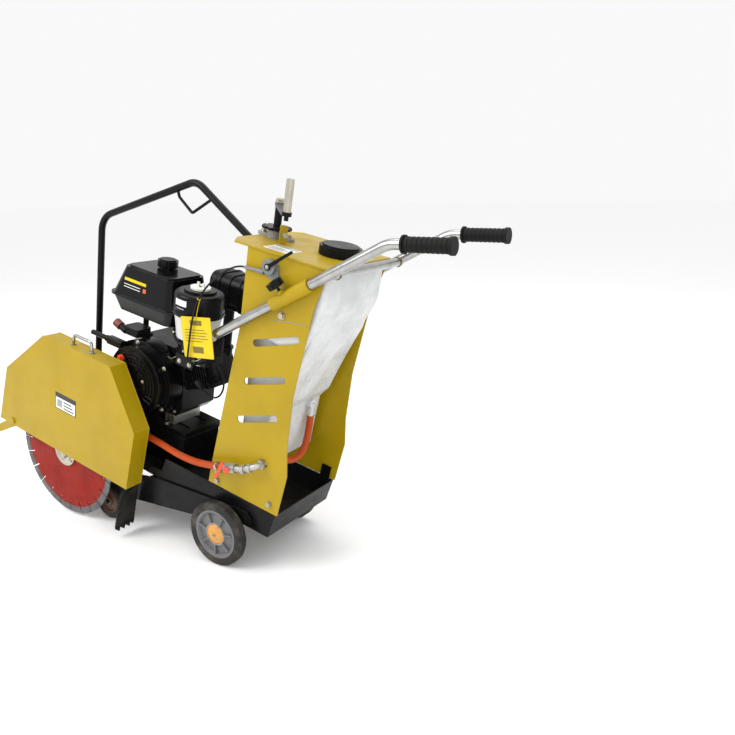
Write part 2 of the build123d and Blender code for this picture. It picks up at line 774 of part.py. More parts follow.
# stiff rubber splash flap with a slit fringe, in line with the guard's rear closing plate
FLAP_TOP = (-355.6, 62.0)
FLAP_DOWN = (-0.1114, -0.9938)
FLAP_LONG = 228.0
FLAP_THICK = 5.0
with BuildPart() as splash_flap:
    hang = Plane(
        origin=(FLAP_TOP[0], (GUARD_NEAR + GUARD_FAR) / 2, FLAP_TOP[1]),
        x_dir=(0, 1, 0),
        z_dir=(-FLAP_DOWN[1], 0, FLAP_DOWN[0]),
    )
    with BuildSketch(hang):
        Polygon(
            (-26.5, 0), (26.5, 0), (26.5, -68), (30, -76), (33, -FLAP_LONG),
            (-44, -FLAP_LONG), (-38, -76), (-26.5, -68), align=None,
        )
        for slit in range(16):
            deep = 14 + 6 * ((slit * 5) % 3)
            with Locations((-40 + slit * 4.7, -FLAP_LONG)):
                Rectangle(1.3, 2 * deep, mode=Mode.SUBTRACT)
    extrude(amount=FLAP_THICK)
save(splash_flap, "splash_flap")

# ================= blade =================

with BuildPart() as blade_core:
    disc(BLADE_AXIS[0], BLADE_AXIS[1], CORE_R, BLADE_Y - 1.6, BLADE_Y + 1.6)
    disc(BLADE_AXIS[0], BLADE_AXIS[1], SPINDLE_R, BLADE_Y - 3, BLADE_Y + 3, mode=Mode.SUBTRACT)
    with BuildSketch(side(BLADE_Y + 2)):
        with Locations(BLADE_AXIS):
            with PolarLocations(CORE_R - 6, 24, start_angle=7.5):
                Rectangle(14, 3.4)
            with PolarLocations(CORE_R - 13, 24, start_angle=7.5):
                Circle(3.4)
    extrude(amount=4, mode=Mode.SUBTRACT)
save(blade_core, "blade_core")

with BuildPart() as blade_rim:
    with BuildSketch(side(BLADE_Y + 2)):
        with Locations(BLADE_AXIS):
            Circle(BLADE_R)
            Circle(CORE_R, mode=Mode.SUBTRACT)
            with PolarLocations(BLADE_R - 8, 24, start_angle=7.5):
                Rectangle(40, 3.4, mode=Mode.SUBTRACT)
    extrude(amount=4)
save(blade_rim, "blade_rim")

with BuildPart() as blade_shaft:
    disc(BLADE_AXIS[0], BLADE_AXIS[1], SPINDLE_R, -214, 186)
    disc(BLADE_AXIS[0], BLADE_AXIS[1], 22, -176, -165)
    disc(BLADE_AXIS[0], BLADE_AXIS[1], PULLEY_BLADE_R + 5, 156, 184)
    for belt_y in BELT_Y:
        with BuildSketch(side(belt_y + 2.6)):
            with Locations(BLADE_AXIS):
                Circle(PULLEY_BLADE_R + 6)
                Circle(PULLEY_BLADE_R - 6, mode=Mode.SUBTRACT)
        extrude(amount=5.2, mode=Mode.SUBTRACT)
save(blade_shaft, "blade_shaft")

with BuildPart() as arbor_flanges:
    for y_low, y_high, radius in ((-188.4, -176, 50), (-199, -191.6, 50), (-202, -199, 34)):
        disc(BLADE_AXIS[0], BLADE_AXIS[1], radius, y_low, y_high)
    with BuildSketch(side(-202)):
        with Locations(BLADE_AXIS):
            RegularPolygon(22, 6)
    extrude(amount=11)
    disc(BLADE_AXIS[0], BLADE_AXIS[1], SPINDLE_R, -215, -175, mode=Mode.SUBTRACT)
    disc(BLADE_AXIS[0] + 34, BLADE_AXIS[1] - 24, 4, -202, -199)
save(arbor_flanges, "arbor_flanges")

with BuildPart() as shaft_bearings:
    for bearing_y in (-110, 110):
        disc(BLADE_AXIS[0], BLADE_AXIS[1], 32, bearing_y - 16, bearing_y + 16)
        x = BLADE_AXIS[0]
        slab(((x - 26, -5), (x + 26, -5), (x + 34, 41), (x - 34, 41)), bearing_y - 13, bearing_y + 13)
        block(x - 62, x + 62, bearing_y - 16, bearing_y + 16, 37, FLOOR_LOW)
    disc(BLADE_AXIS[0], BLADE_AXIS[1], SPINDLE_R + RUN, -130, 130, mode=Mode.SUBTRACT)
save(shaft_bearings, "shaft_bearings")

with BuildPart() as engine_pulley:
    disc(CRANK_AXIS[0], CRANK_AXIS[1], PULLEY_ENGINE_R + 5, 156, 184)
    disc(CRANK_AXIS[0], CRANK_AXIS[1], 24, 146, 156)
    for belt_y in BELT_Y:
        with BuildSketch(side(belt_y + 2.6)):
            with Locations(CRANK_AXIS):
                Circle(PULLEY_ENGINE_R + 6)
                Circle(PULLEY_ENGINE_R - 6, mode=Mode.SUBTRACT)
        extrude(amount=5.2, mode=Mode.SUBTRACT)
    disc(CRANK_AXIS[0], CRANK_AXIS[1], 12.7, 90.5, 186)
save(engine_pulley, "engine_pulley")


def belt_band(r_blade, r_engine):
    """Outline round both pulleys at given radii."""
    with Locations(BLADE_AXIS):
        Circle(r_blade)
    with Locations(CRANK_AXIS):
        Circle(r_engine)
    make_hull()


with BuildPart() as drive_belts:
    for belt_y in BELT_Y:
        with BuildSketch(side(belt_y + 2.3)):
            belt_band(PULLEY_BLADE_R + 3, PULLEY_ENGINE_R + 3)
        extrude(amount=4.6)
        with BuildSketch(side(belt_y + 2.4)):
            belt_band(PULLEY_BLADE_R - 5.6, PULLEY_ENGINE_R - 5.6)
        extrude(amount=4.8, mode=Mode.SUBTRACT)
save(drive_belts, "drive_belts")

with BuildPart() as belt_cover:
    with BuildSketch(side(193)):
        belt_band(72, 84)
    extrude(amount=42)
    with BuildSketch(side(190)):
        belt_band(69, 81)
    extrude(amount=40, mode=Mode.SUBTRACT)
    block(-700, -670, 148, 151.2, 49.3, 77)
    block(-560, -530, 148, 151.2, 49.3, 77)
save(belt_cover, "belt_cover")

# ================= engine =================

FIN_A = radians(22)
with BuildPart() as engine_block:
    # crankcase
    slab(
        (
            (-545, 236), (-535, 224), (-325, 224), (-300, 250),
            (-300, 400), (-350, 452), (-500, 452), (-545, 410),
        ),
        -56,
        88,
    )
    disc(CRANK_AXIS[0], CRANK_AXIS[1], 62, 88, 98)
    disc(CRANK_AXIS[0], CRANK_AXIS[1], 12.7 + RUN, 90, 99, mode=Mode.SUBTRACT)
    # finned cylinder and head, tipped up towards the console
    for fin in range(11):
        along = 118 + fin * 10
        plane = Plane(
            origin=(-430 + along * cos(FIN_A), 12, 331 + along * sin(FIN_A)),
            x_dir=(0, 1, 0),
            z_dir=(cos(FIN_A), 0, sin(FIN_A)),
        )
        with BuildSketch(plane):
            RectangleRounded(118, 118, 12)
        extrude(amount=3)
    plane = Plane(
        origin=(-430 + 90 * cos(FIN_A), 12, 331 + 90 * sin(FIN_A)),
        x_dir=(0, 1, 0),
        z_dir=(cos(FIN_A), 0, sin(FIN_A)),
    )
    with BuildSketch(plane):
        RectangleRounded(92, 92, 14)
    extrude(amount=142)
    with BuildSketch(plane.offset(136)):
        RectangleRounded(84, 84, 14)
    extrude(amount=26)
    # carburettor body below the air cleaner, tank posts
    block(-250, -168, -128, -44, 482, 546)
    block(-262, -200, -60, 0, 440, 520)
    for leg_x, leg_y in ((-520, -20), (-360, -20)):
        post(leg_x, leg_y, 9, 440, 541)
    # throttle bracket
    block(-196, -152, -128, -98, 468, 500)
    # exhaust port
    post(-226, 40, 21, 430, 474)
    # feet
    block(-545, -325, -54, 62, 224, 232)
    # oil filler neck and its casting
    with BuildSketch(Plane(origin=(-548, -96, 470), z_dir=(1, 0, -0.35))):
        Circle(11)
    extrude(amount=26)
    with BuildSketch(Plane.XY.offset(455)):
        with Locations((-500, -72)):
            RectangleRounded(64, 62, 10)
    extrude(amount=25)
    block(-500, -470, -55, -35, 446, 460)
save(engine_block, "engine_block")

with BuildPart() as fuel_tank:
    low = Plane.XY.offset(541)
    with BuildSketch(low):
        with Locations((-425, -55)):
            RectangleRounded(226, 138, 26)
    with BuildSketch(Plane.XY.offset(588)):
        with Locations((-425, -55)):
            RectangleRounded(266, 164, 30)
    loft()
    with BuildSketch(Plane.XY.offset(588)):
        with Locations((-425, -55)):
            RectangleRounded(278, 174, 32)
    extrude(amount=7)
    with BuildSketch(Plane.XY.offset(595)):
        with Locations((-425, -55)):
            RectangleRounded(264, 162, 30)
    with BuildSketch(Plane.XY.offset(684)):
        with Locations((-411, -55)):
            RectangleRounded(206, 142, 24)
    loft()
    with BuildSketch(Plane.XY.offset(684)):
        with Locations((-411, -55)):
            RectangleRounded(190, 126, 20)
    extrude(amount=5)
    post(-417, -40, 24, 689, 694)
save(fuel_tank, "fuel_tank")

with BuildPart() as fuel_cap:
    with BuildSketch(Plane.XY.offset(694.5)):
        with Locations((-417, -40)):
            Circle(31)
            with PolarLocations(33, 8):
                Circle(4.5, mode=Mode.SUBTRACT)
    extrude(amount=20)
    post(-417, -40, 24, 714.5, 718)
save(fuel_cap, "fuel_cap")

CLEANER = (-208.0, -112.0)
with BuildPart() as air_cleaner_bowl:
    with BuildSketch(Plane.XY.offset(546)):
        with Locations(CLEANER):
            Circle(58)
    with BuildSketch(Plane.XY.offset(616)):
        with Locations(CLEANER):
            Circle(68)
    loft()
save(air_cleaner_bowl, "air_cleaner_bowl")

with BuildPart() as air_cleaner_cover:
    post(CLEANER[0], CLEANER[1], 72, 616.3, 684)
    fillet(air_cleaner_cover.edges().sort_by(Axis.Z)[-1], 14)
    post(CLEANER[0], CLEANER[1], 46, 684, 690)
    with BuildSketch(Plane.XY.offset(622)):
        with Locations(CLEANER):
            Circle(74)
            Circle(70, mode=Mode.SUBTRACT)
    extrude(amount=6)
    post(CLEANER[0], CLEANER[1], 5, 684, 698)
save(air_cleaner_cover, "air_cleaner_cover")

with BuildPart() as air_cleaner_knob:
    post(CLEANER[0], CLEANER[1], 29, 690.4, 697)
    post(CLEANER[0], CLEANER[1], 5 + RUN, 690, 698, mode=Mode.SUBTRACT)
    for ear in (-9.5, 9.5):
        block(CLEANER[0] + ear - 3.5, CLEANER[0] + ear + 3.5, CLEANER[1] - 2.5, CLEANER[1] + 2.5, 697, 709)
save(air_cleaner_knob, "air_cleaner_knob")

with BuildPart() as muffler:
    with BuildSketch(Plane.YZ.offset(-289)):
        with Locations((66, 655)):
            RectangleRounded(112, 108, 30)
    extrude(amount=156)
    for rib_x in (-254, -214, -174):
        with BuildSketch(Plane.YZ.offset(rib_x)):
            with Locations((66, 655)):
                RectangleRounded(118, 114, 33)
        extrude(amount=5)
    # exhaust stub down to the port
    post(-226, 40, 16, 474, 606)
    post(-226, 40, 24, 474, 480)
save(muffler, "muffler")

with BuildPart() as recoil_starter:
    disc(CRANK_AXIS[0], CRANK_AXIS[1], 128, -112, -56)
    disc(CRANK_AXIS[0], CRANK_AXIS[1], 112, -138, -112)
    disc(CRANK_AXIS[0], CRANK_AXIS[1], 96, -146, -138)
    disc(CRANK_AXIS[0], CRANK_AXIS[1], 60, -150, -146)
    for r_out, r_in in ((104, 99), (90, 84), (76, 70)):
        with BuildSketch(side(-141)):
            with Locations(CRANK_AXIS):
                Circle(r_out)
                Circle(r_in, mode=Mode.SUBTRACT)
        extrude(amount=12, mode=Mode.SUBTRACT)
    # air slots round the drum
    with BuildSketch(side(-145)):
        with Locations(CRANK_AXIS):
            with PolarLocations(45, 12):
                Rectangle(22, 5)
    extrude(amount=6, mode=Mode.SUBTRACT)
    # rope guide
    with BuildSketch(Plane(origin=(-500, -125, 426), z_dir=(-1, 0, 0))):
        RectangleRounded(26, 26, 6)
    extrude(amount=64)
    with BuildSketch(Plane(origin=(-490, -125, 426), z_dir=(-1, 0, 0))):
        Circle(3.2)
    extrude(amount=75, mode=Mode.SUBTRACT)
save(recoil_starter, "recoil_starter")

with BuildPart() as recoil_handle:
    with BuildSketch(Plane(origin=(-492, -125, 426), z_dir=(-1, 0, 0))):
        Circle(3.1)
    extrude(amount=74)
    with BuildSketch(Plane(origin=(-566, -125, 426), z_dir=(-1, 0, 0))):
        Circle(11)
    extrude(amount=10)
    with BuildSketch(Plane(origin=(-574, -125, 426), z_dir=(-1, 0, 0))):
        Circle(8)
    extrude(amount=72)
save(recoil_handle, "recoil_handle")

with BuildPart() as oil_cap:
    with BuildSketch(Plane(origin=(-548, -96, 470), z_dir=(-1, 0, 0.35))):
        Circle(14)
        with PolarLocations(15.5, 10):
            Circle(2.2, mode=Mode.SUBTRACT)
    extrude(amount=24)
save(oil_cap, "oil_cap")

with BuildPart() as engine_switch:
    disc(-480, 396, 11, -154, -146.3)
    block(-486, -474, -160, -154, 388, 404)
save(engine_switch, "engine_switch")

with BuildPart() as ignition_lead:
    with BuildLine() as route:
        FilletPolyline(
            (-206, -72, 368),
            (-176, -73, 352),
            (-138, -75, 362),
            (-118, -76, 398),
            (-124, -76, 440),
            (-152, -76, 468),
            (-186, -76, 478.5),
            radius=[18, 16, 16, 16, 16],
        )
    with BuildSketch(Plane(origin=route.line @ 0, z_dir=route.line % 0)):
        Circle(3)
    sweep(path=route.line)
    # boot on the plug
    with BuildSketch(Plane(origin=(-206, -72, 368), z_dir=(-0.86, 0.02, 0.5))):
        Circle(10)
    extrude(amount=30)
save(ignition_lead, "ignition_lead")

CABLE = (
    (-18.2, CABLE_Y, 808.9),
    (-40, CABLE_Y, 807.8),
    (-72, -171, 786),
    (-108, -190, 744),
    (-138, -194, 690),
    (-154, -194, 630),
    (-158, -194, 560),
    (-161, -194, 482),
    (-161, -128.3, 482),
)
with BuildPart() as throttle_cable:
    with BuildLine() as cable_route:
        FilletPolyline(*CABLE, radius=easy_radii(CABLE))
    with BuildSketch(Plane(origin=cable_route.line @ 0, z_dir=cable_route.line % 0)):
        Circle(2.6)
    sweep(path=cable_route.line)
save(throttle_cable, "throttle_cable")

# ================= water line =================

VALVE_Y = -177.0
with BuildPart() as water_fittings:
    with BuildLine() as route:
        FilletPolyline(
            (-8, VALVE_Y, 221), (60, VALVE_Y, 243), (111, VALVE_Y, 273), (111, -122, 273),
            radius=[40, 16],
        )
    with BuildSketch(Plane(origin=route.line @ 0, z_dir=route.line % 0)):
        Circle(9)
    sweep(path=route.line)
    # ball valve body, its hexes and the thicker elbow
    for x, z, along, radius in ((8, 226.2, 34, 15), (64, 245.4, 10, 14), (84, 257, 12, 13.2)):
        with BuildSketch(Plane(origin=(x, VALVE_Y, z), z_dir=(0.95, 0, 0.32))):
            RegularPolygon(radius, 8)
        extrude(amount=along)
    with BuildSketch(side(-152)):
        with Locations((111, 273)):
            Circle(13)
    extrude(amount=10)
    with BuildSketch(Plane(origin=(24, VALVE_Y, 231.6), z_dir=(0, -1, 0))):
        Circle(6)
    extrude(amount=19)
    # elbow into the guard's inner plate
    with BuildLine() as inlet:
        FilletPolyline((-384, -137, 165), (-408, -137, 165), (-408, -163, 165), radius=14)
    with BuildSketch(Plane(origin=inlet.line @ 0, z_dir=inlet.line % 0)):
        Circle(8)
    sweep(path=inlet.line)
    with BuildSketch(side(-158)):
        with Locations((-408, 165)):
            RegularPolygon(12, 6)
    extrude(amount=5)
save(water_fittings, "water_fittings")

with BuildPart() as valve_lever:
    with BuildSketch(side(-196.4)):
        with Locations((24, 231.6)):
            Circle(10)
        with Locations(Pos(-2, 222) * Rot(0, 0, 68)):
            RectangleRounded(64, 10, 4)
    extrude(amount=3.5)
save(valve_lever, "valve_lever")

OUTER_HOSE = (
    (-8.3, VALVE_Y, 220.9),
    (-70, VALVE_Y, 201),
    (-150, -170, 183),
    (-230, -157, 174),
    (-300, -142, 168),
    (-350, -137, 165),
    (-383.7, -137, 165),
)
INNER_HOSE = (
    (111, -121.7, 273),
    (111, -88, 273),
    (122, -30, 238),
    (122, 30, 246),
    (114, 58, 300),
    (112, 58, 359.7),
)
with BuildPart() as water_hoses:
    # from the valve, along the engine pedestal, to the blade guard; from the tank to the valve
    for points in (OUTER_HOSE, INNER_HOSE):
        with BuildLine() as route:
            FilletPolyline(*points, radius=easy_radii(points))
        with BuildSketch(Plane(origin=route.line @ 0, z_dir=route.line % 0)):
            Circle(10.5)
        sweep(path=route.line)
save(water_hoses, "water_hoses")

# ================= small parts =================

with BuildPart() as hang_tag:
    tag = Plane(origin=(-136, -186, 580), x_dir=(0.97, 0, 0.24), z_dir=(0, -1, 0))
    with BuildSketch(tag):
        RectangleRounded(112, 116, 4)
    extrude(amount=1.2)
    # string up to a loop round the throttle cable
    loop_at = cable_route.line @ 0.4
    loop_plane = Plane(origin=loop_at, z_dir=cable_route.line % 0.4)
    with BuildLine() as string:
        FilletPolyline(
            (-146, -187.6, 634), (-141, -188.4, 664), (loop_at.X, loop_at.Y + 4.4, loop_at.Z), radius=20
        )
    with BuildSketch(Plane(origin=string.line @ 0, z_dir=string.line % 0)):
        Circle(0.9)
    sweep(path=string.line)
    with Locations(loop_plane.location):
        Torus(4.4, 0.9)
save(hang_tag, "hang_tag")

def hex_bolt(point, outward):
    """One washer and hex head standing on a surface."""
    plane = Plane(origin=point, z_dir=outward)
    with BuildSketch(plane) as washer:
        Circle(10)
    extrude(washer.sketch, amount=2)
    with BuildSketch(plane.offset(2)) as head:
        RegularPolygon(8.5, 6)
    extrude(head.sketch, amount=6)


with BuildPart() as bolts:
    for x, z in PANEL_BOLTS:
        hex_bolt((x, -PANEL_OUT, z), (0, -1, 0))
        hex_bolt((x, PANEL_OUT, z), (0, 1, 0))
    for ear_x in (SCREW_X - 44, SCREW_X + 44):
        hex_bolt((ear_x, 0, TOP_HIGH + 8), (0, 0, 1))
    for foot_y in (-20, 20):
        hex_bolt((-755, foot_y, FLOOR_TOP + 6), (0, 0, 1))
        hex_bolt((-97, foot_y, 846), (-1, 0, 0))
    for bearing_x in (BLADE_AXIS[0] - 49, BLADE_AXIS[0] + 49):
        for bearing_y in (-110, 110):
            hex_bolt((bearing_x, bearing_y, FLOOR_TOP), (0, 0, 1))
    for rail_x in (-520, -352):
        for bolt_y in (-65.5, 73.5):
            hex_bolt((rail_x, bolt_y, 190), (0, 0, 1))
save(bolts, "bolts")
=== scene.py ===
"""Looks of the walk-behind concrete saw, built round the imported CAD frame.

Pieces and cords are drawn in the chassis frame of the CAD, in millimetres; at() puts them in the world.
"""

import json
from math import cos, pi, radians, sin

import bpy
from mathutils import Matrix, Vector

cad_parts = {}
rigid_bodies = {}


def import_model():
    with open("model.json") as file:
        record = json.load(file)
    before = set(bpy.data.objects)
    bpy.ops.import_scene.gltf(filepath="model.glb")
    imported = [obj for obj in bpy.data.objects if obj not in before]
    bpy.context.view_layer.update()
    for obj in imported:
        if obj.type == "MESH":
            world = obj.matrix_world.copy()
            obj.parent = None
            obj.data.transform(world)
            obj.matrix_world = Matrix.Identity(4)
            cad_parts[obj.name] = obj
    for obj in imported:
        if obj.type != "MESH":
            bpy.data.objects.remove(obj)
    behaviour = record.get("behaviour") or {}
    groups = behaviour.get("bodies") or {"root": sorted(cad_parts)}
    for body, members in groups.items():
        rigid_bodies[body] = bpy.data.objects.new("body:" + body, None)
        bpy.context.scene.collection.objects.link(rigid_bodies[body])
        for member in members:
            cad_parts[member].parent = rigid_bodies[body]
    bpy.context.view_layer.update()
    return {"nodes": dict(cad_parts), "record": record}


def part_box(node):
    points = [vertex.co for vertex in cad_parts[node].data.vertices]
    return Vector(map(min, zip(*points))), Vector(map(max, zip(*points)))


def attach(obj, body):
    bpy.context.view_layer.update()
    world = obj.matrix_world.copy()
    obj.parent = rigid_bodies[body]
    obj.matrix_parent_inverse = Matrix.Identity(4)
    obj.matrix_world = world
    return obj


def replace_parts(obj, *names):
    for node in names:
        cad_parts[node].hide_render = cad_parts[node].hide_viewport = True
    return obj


for old in list(bpy.data.objects):
    bpy.data.objects.remove(old)

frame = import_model()

# ================= the machine's own sizes, as in the CAD =================

# origin on the rear axle in the middle plane, pitched nose-up
PITCH = radians(12)
AXLE = (203.2, 17.8, 100.0)
CHASSIS = Matrix.Translation([v / 1000 for v in AXLE]) @ Matrix.Rotation(PITCH, 4, "Y")

# shafts across the machine, as (x, z), and upright ones, as (x, y)
BLADE_AXIS = (-683, -5)
CRANKSHAFT = (-430, 331)
FRONT_AXLE = (-520, -148.86)
THROTTLE = (62, 830)
CLEANER = (-208, -112)
SCREW = (-50, 0)

BLADE_Y = -190
GUARD = ((-1002, 8), (-959, 216), (-762, 394), (-445, 394), (-326, 214), (-350, 8))
GUARD_FACES = (-222.2, -163.8)
TUBE_LOW = (-90, 600)
TUBE_RISE = radians(37.4)


def at(x, y, z):
    """A point given in the chassis frame in millimetres, as a world point in metres."""
    return CHASSIS @ Vector((x / 1000, y / 1000, z / 1000))


def tube_point(along, off=0.0):
    """A point (x, z) on the handlebar tube's axis, a distance along it and square off it."""
    c, s = cos(TUBE_RISE), sin(TUBE_RISE)
    return (TUBE_LOW[0] + along * c - off * s, TUBE_LOW[1] + along * s + off * c)


def round_cleaner(radius, angle, z):
    """A point round the air cleaner's upright axis."""
    return (CLEANER[0] + radius * cos(angle), CLEANER[1] + radius * sin(angle), z)


def round_shaft(y, radius, angle):
    """A point round the engine's crankshaft, in the plane across the machine at y."""
    return (CRANKSHAFT[0] + radius * cos(angle), y, CRANKSHAFT[1] + radius * sin(angle))


# ================= materials =================

M = {}


def lin(r, g, b):
    """An 8-bit screen colour as linear RGBA."""

    def one(v):
        v = v / 255
        return v / 12.92 if v <= 0.04045 else ((v + 0.055) / 1.055) ** 2.4

    return (one(r), one(g), one(b), 1.0)


def darker(color, share):
    return tuple(c * share for c in color[:3]) + (1.0,)


DUST = lin(176, 165, 148)
DIRT = lin(84, 80, 74)


class Finish:
    """A small builder round one material's node tree; done() keeps the material in M by its name."""

    def __init__(self, name):
        self.name = name
        self.mat = bpy.data.materials.new(name)
        self.mat.use_nodes = True
        self.tree = self.mat.node_tree
        self.shader = self.tree.nodes["Principled BSDF"]
        self.coords = self.add("ShaderNodeTexCoord").outputs["Object"]

    def add(self, kind, **settings):
        node = self.tree.nodes.new(kind)
        for key, value in settings.items():
            setattr(node, key, value)
        return node

    def feed(self, socket, value):
        """Links a socket, or sets it to a number or colour."""
        if isinstance(value, bpy.types.NodeSocket):
            self.tree.links.new(value, socket)
        else:
            socket.default_value = value

    def put(self, node, **values):
        """Feeds a node's inputs by name, with _ standing for a space."""
        for key, value in values.items():
            self.feed(node.inputs[key.replace("_", " ")], value)

    def noise(self, scale, detail=4.0, rough=0.55, stretch=None, distort=0.0):
        node = self.add("ShaderNodeTexNoise")
        source = self.coords
        if stretch:
            mapping = self.add("ShaderNodeMapping")
            self.put(mapping, Scale=stretch, Vector=self.coords)
            source = mapping.outputs["Vector"]
        self.put(node, Vector=source, Scale=scale, Detail=detail, Roughness=rough, Distortion=distort)
        return node.outputs["Fac"]

    def ramp(self, source, low, high, out_low=0.0, out_high=1.0):
        node = self.add("ShaderNodeMapRange", interpolation_type="SMOOTHSTEP")
        self.put(node, Value=source, From_Min=low, From_Max=high, To_Min=out_low, To_Max=out_high)
        return node.outputs["Result"]

    def math(self, operation, a, b=0.0):
        node = self.add("ShaderNodeMath", operation=operation)
        self.feed(node.inputs[0], a)
        self.feed(node.inputs[1], b)
        return node.outputs[0]

    def vector(self, operation, a, b=(0, 0, 0)):
        node = self.add("ShaderNodeVectorMath", operation=operation)
        self.feed(node.inputs[0], a)
        self.feed(node.inputs[1], b)
        return node

    def mix(self, amount, a, b):
        node = self.add("ShaderNodeMix", data_type="RGBA")
        self.put(node, Factor=amount)
        colors = [s for s in node.inputs if s.type == "RGBA"]
        self.feed(colors[0], a)
        self.feed(colors[1], b)
        return [s for s in node.outputs if s.type == "RGBA"][0]

    def bevel(self, radius):
        """Normals rounded over edges by a radius in metres."""
        node = self.add("ShaderNodeBevel", samples=4)
        self.put(node, Radius=radius)
        return node.outputs["Normal"]

    def edges(self, radius, low, high):
        """A mask that is 1 on sharp edges."""
        rounded = self.bevel(radius)
        flat = self.add("ShaderNodeNewGeometry").outputs["Normal"]
        dot = self.vector("DOT_PRODUCT", rounded, flat)
        return self.ramp(self.math("SUBTRACT", 1.0, dot.outputs["Value"]), low, high)

    def settled(self, scale):
        """Patchy dust on what faces up."""
        split = self.add("ShaderNodeSeparateXYZ")
        self.put(split, Vector=self.add("ShaderNodeNewGeometry").outputs["Normal"])
        up = self.ramp(split.outputs["Z"], 0.4, 0.95)
        return self.math("MULTIPLY", up, self.ramp(self.noise(scale, 6.0, 0.65), 0.38, 0.72))

    def bump(self, height, strength, distance, soften=None):
        node = self.add("ShaderNodeBump")
        self.put(node, Strength=strength, Distance=distance, Height=height)
        if soften:
            self.put(node, Normal=self.bevel(soften))
        self.put(self.shader, Normal=node.outputs["Normal"])

    def done(self, color, rough, metal=0.0, coat=0.0, spec=0.5):
        self.put(
            self.shader, Base_Color=color, Roughness=rough, Metallic=metal,
            Coat_Weight=coat, Coat_Roughness=0.12, Specular_IOR_Level=spec,
        )
        M[self.name] = self.mat
        return self.mat


def paint(name, color, worn, rough, wear, dust, spec, coat=0.0, grain=260.0, mottle=0.12):
    """Enamel or powder coat: slight orange peel, uneven gloss, rubbed edges and dust on what faces up."""
    f = Finish(name)
    broad = f.noise(7.0, 5.0)
    fine = f.noise(60.0, 3.0)
    tone = f.mix(f.ramp(broad, 0.35, 0.7), color, darker(color, 1 - mottle * 2))
    rubbed = f.math("MULTIPLY", f.edges(0.0022, 0.03, 0.35), f.ramp(fine, 0.52, 0.66))
    tone = f.mix(f.math("MULTIPLY", rubbed, wear), tone, worn)
    settled = f.settled(11.0)
    tone = f.mix(f.math("MULTIPLY", settled, dust), tone, DUST)
    gloss = f.ramp(f.noise(18.0, 5.0), 0.3, 0.75, rough * 0.8, rough * 1.35)
    gloss = f.math("ADD", gloss, f.math("MULTIPLY", settled, 0.25 * min(1.0, dust * 4)))
    f.bump(f.noise(grain, 2.0), 0.06, 0.0006, soften=0.0012)
    f.done(tone, gloss, coat=coat, spec=spec)


def steel(name, color, rough, stain=None, metal=1.0, bump=0.12):
    """Bare or plated metal with a fine grain, blotches and dulled patches."""
    f = Finish(name)
    broad = f.noise(22.0, 6.0, 0.6)
    tone = f.mix(f.ramp(broad, 0.3, 0.75), color, darker(color, 0.7))
    if stain:
        tone = f.mix(f.ramp(f.noise(9.0, 8.0, 0.7), 0.52, 0.78, 0.0, 0.75), tone, stain)
    gloss = f.ramp(broad, 0.25, 0.8, rough * 0.75, rough * 1.5)
    f.bump(f.noise(140.0, 3.0), bump, 0.0004, soften=0.0008)
    f.done(tone, gloss, metal=metal)


def plastic(name, color, rough, grain=420.0, bump=0.12, coat=0.0, dust=0.1, spec=0.45, sag=0.0):
    """Moulded plastic with a fine grain and dulled patches; sag adds long soft creases."""
    f = Finish(name)
    tone = f.mix(f.ramp(f.noise(14.0, 5.0), 0.35, 0.7, 0.0, 0.7), color, darker(color, 0.75))
    tone = f.mix(f.math("MULTIPLY", f.settled(16.0), dust), tone, DUST)
    gloss = f.ramp(f.noise(24.0, 4.0), 0.3, 0.7, rough * 0.85, rough * 1.2)
    height = f.noise(grain, 3.0)
    if sag:
        creases = f.noise(7.0, 3.0, stretch=(1, 1, 0.35), distort=0.6)
        height = f.math("ADD", f.math("MULTIPLY", creases, sag), height)
    f.bump(height, bump, 0.0005, soften=0.0012)
    f.done(tone, gloss, coat=coat, spec=spec)


def rubber(name, color, rough, dust, bump=0.25):
    """Rubber with a dusty, slightly mottled skin."""
    f = Finish(name)
    broad = f.noise(18.0, 6.0, 0.65)
    tone = f.mix(f.math("MULTIPLY", f.ramp(broad, 0.4, 0.75), dust), color, DUST)
    gloss = f.ramp(broad, 0.3, 0.8, rough * 0.9, min(1.0, rough * 1.2))
    f.bump(f.noise(350.0, 4.0), bump, 0.0006, soften=0.001)
    f.done(tone, gloss, spec=0.16)


def blade_paint(name):
    """Red enamel on the blade core: faint turning rings, and scuffs towards its rim."""
    f = Finish(name)
    shift = f.vector("SUBTRACT", f.coords, at(BLADE_AXIS[0], BLADE_Y, BLADE_AXIS[1]))
    radius = f.vector("LENGTH", shift.outputs[0]).outputs["Value"]
    rings = f.math("SINE", f.math("MULTIPLY", radius, 2600.0))
    tone = f.mix(f.ramp(f.noise(12.0, 6.0), 0.35, 0.75), lin(140, 26, 9), lin(122, 20, 8))
    patches = f.ramp(f.noise(40.0, 6.0, 0.7), 0.42, 0.62)
    scuff = f.math("MULTIPLY", f.ramp(radius, 0.16, 0.205), patches)
    tone = f.mix(f.math("MULTIPLY", scuff, 0.35), tone, lin(130, 60, 48))
    f.bump(rings, 0.05, 0.0003)
    f.done(tone, f.ramp(f.noise(30.0, 4.0), 0.3, 0.7, 0.38, 0.55), spec=0.12)


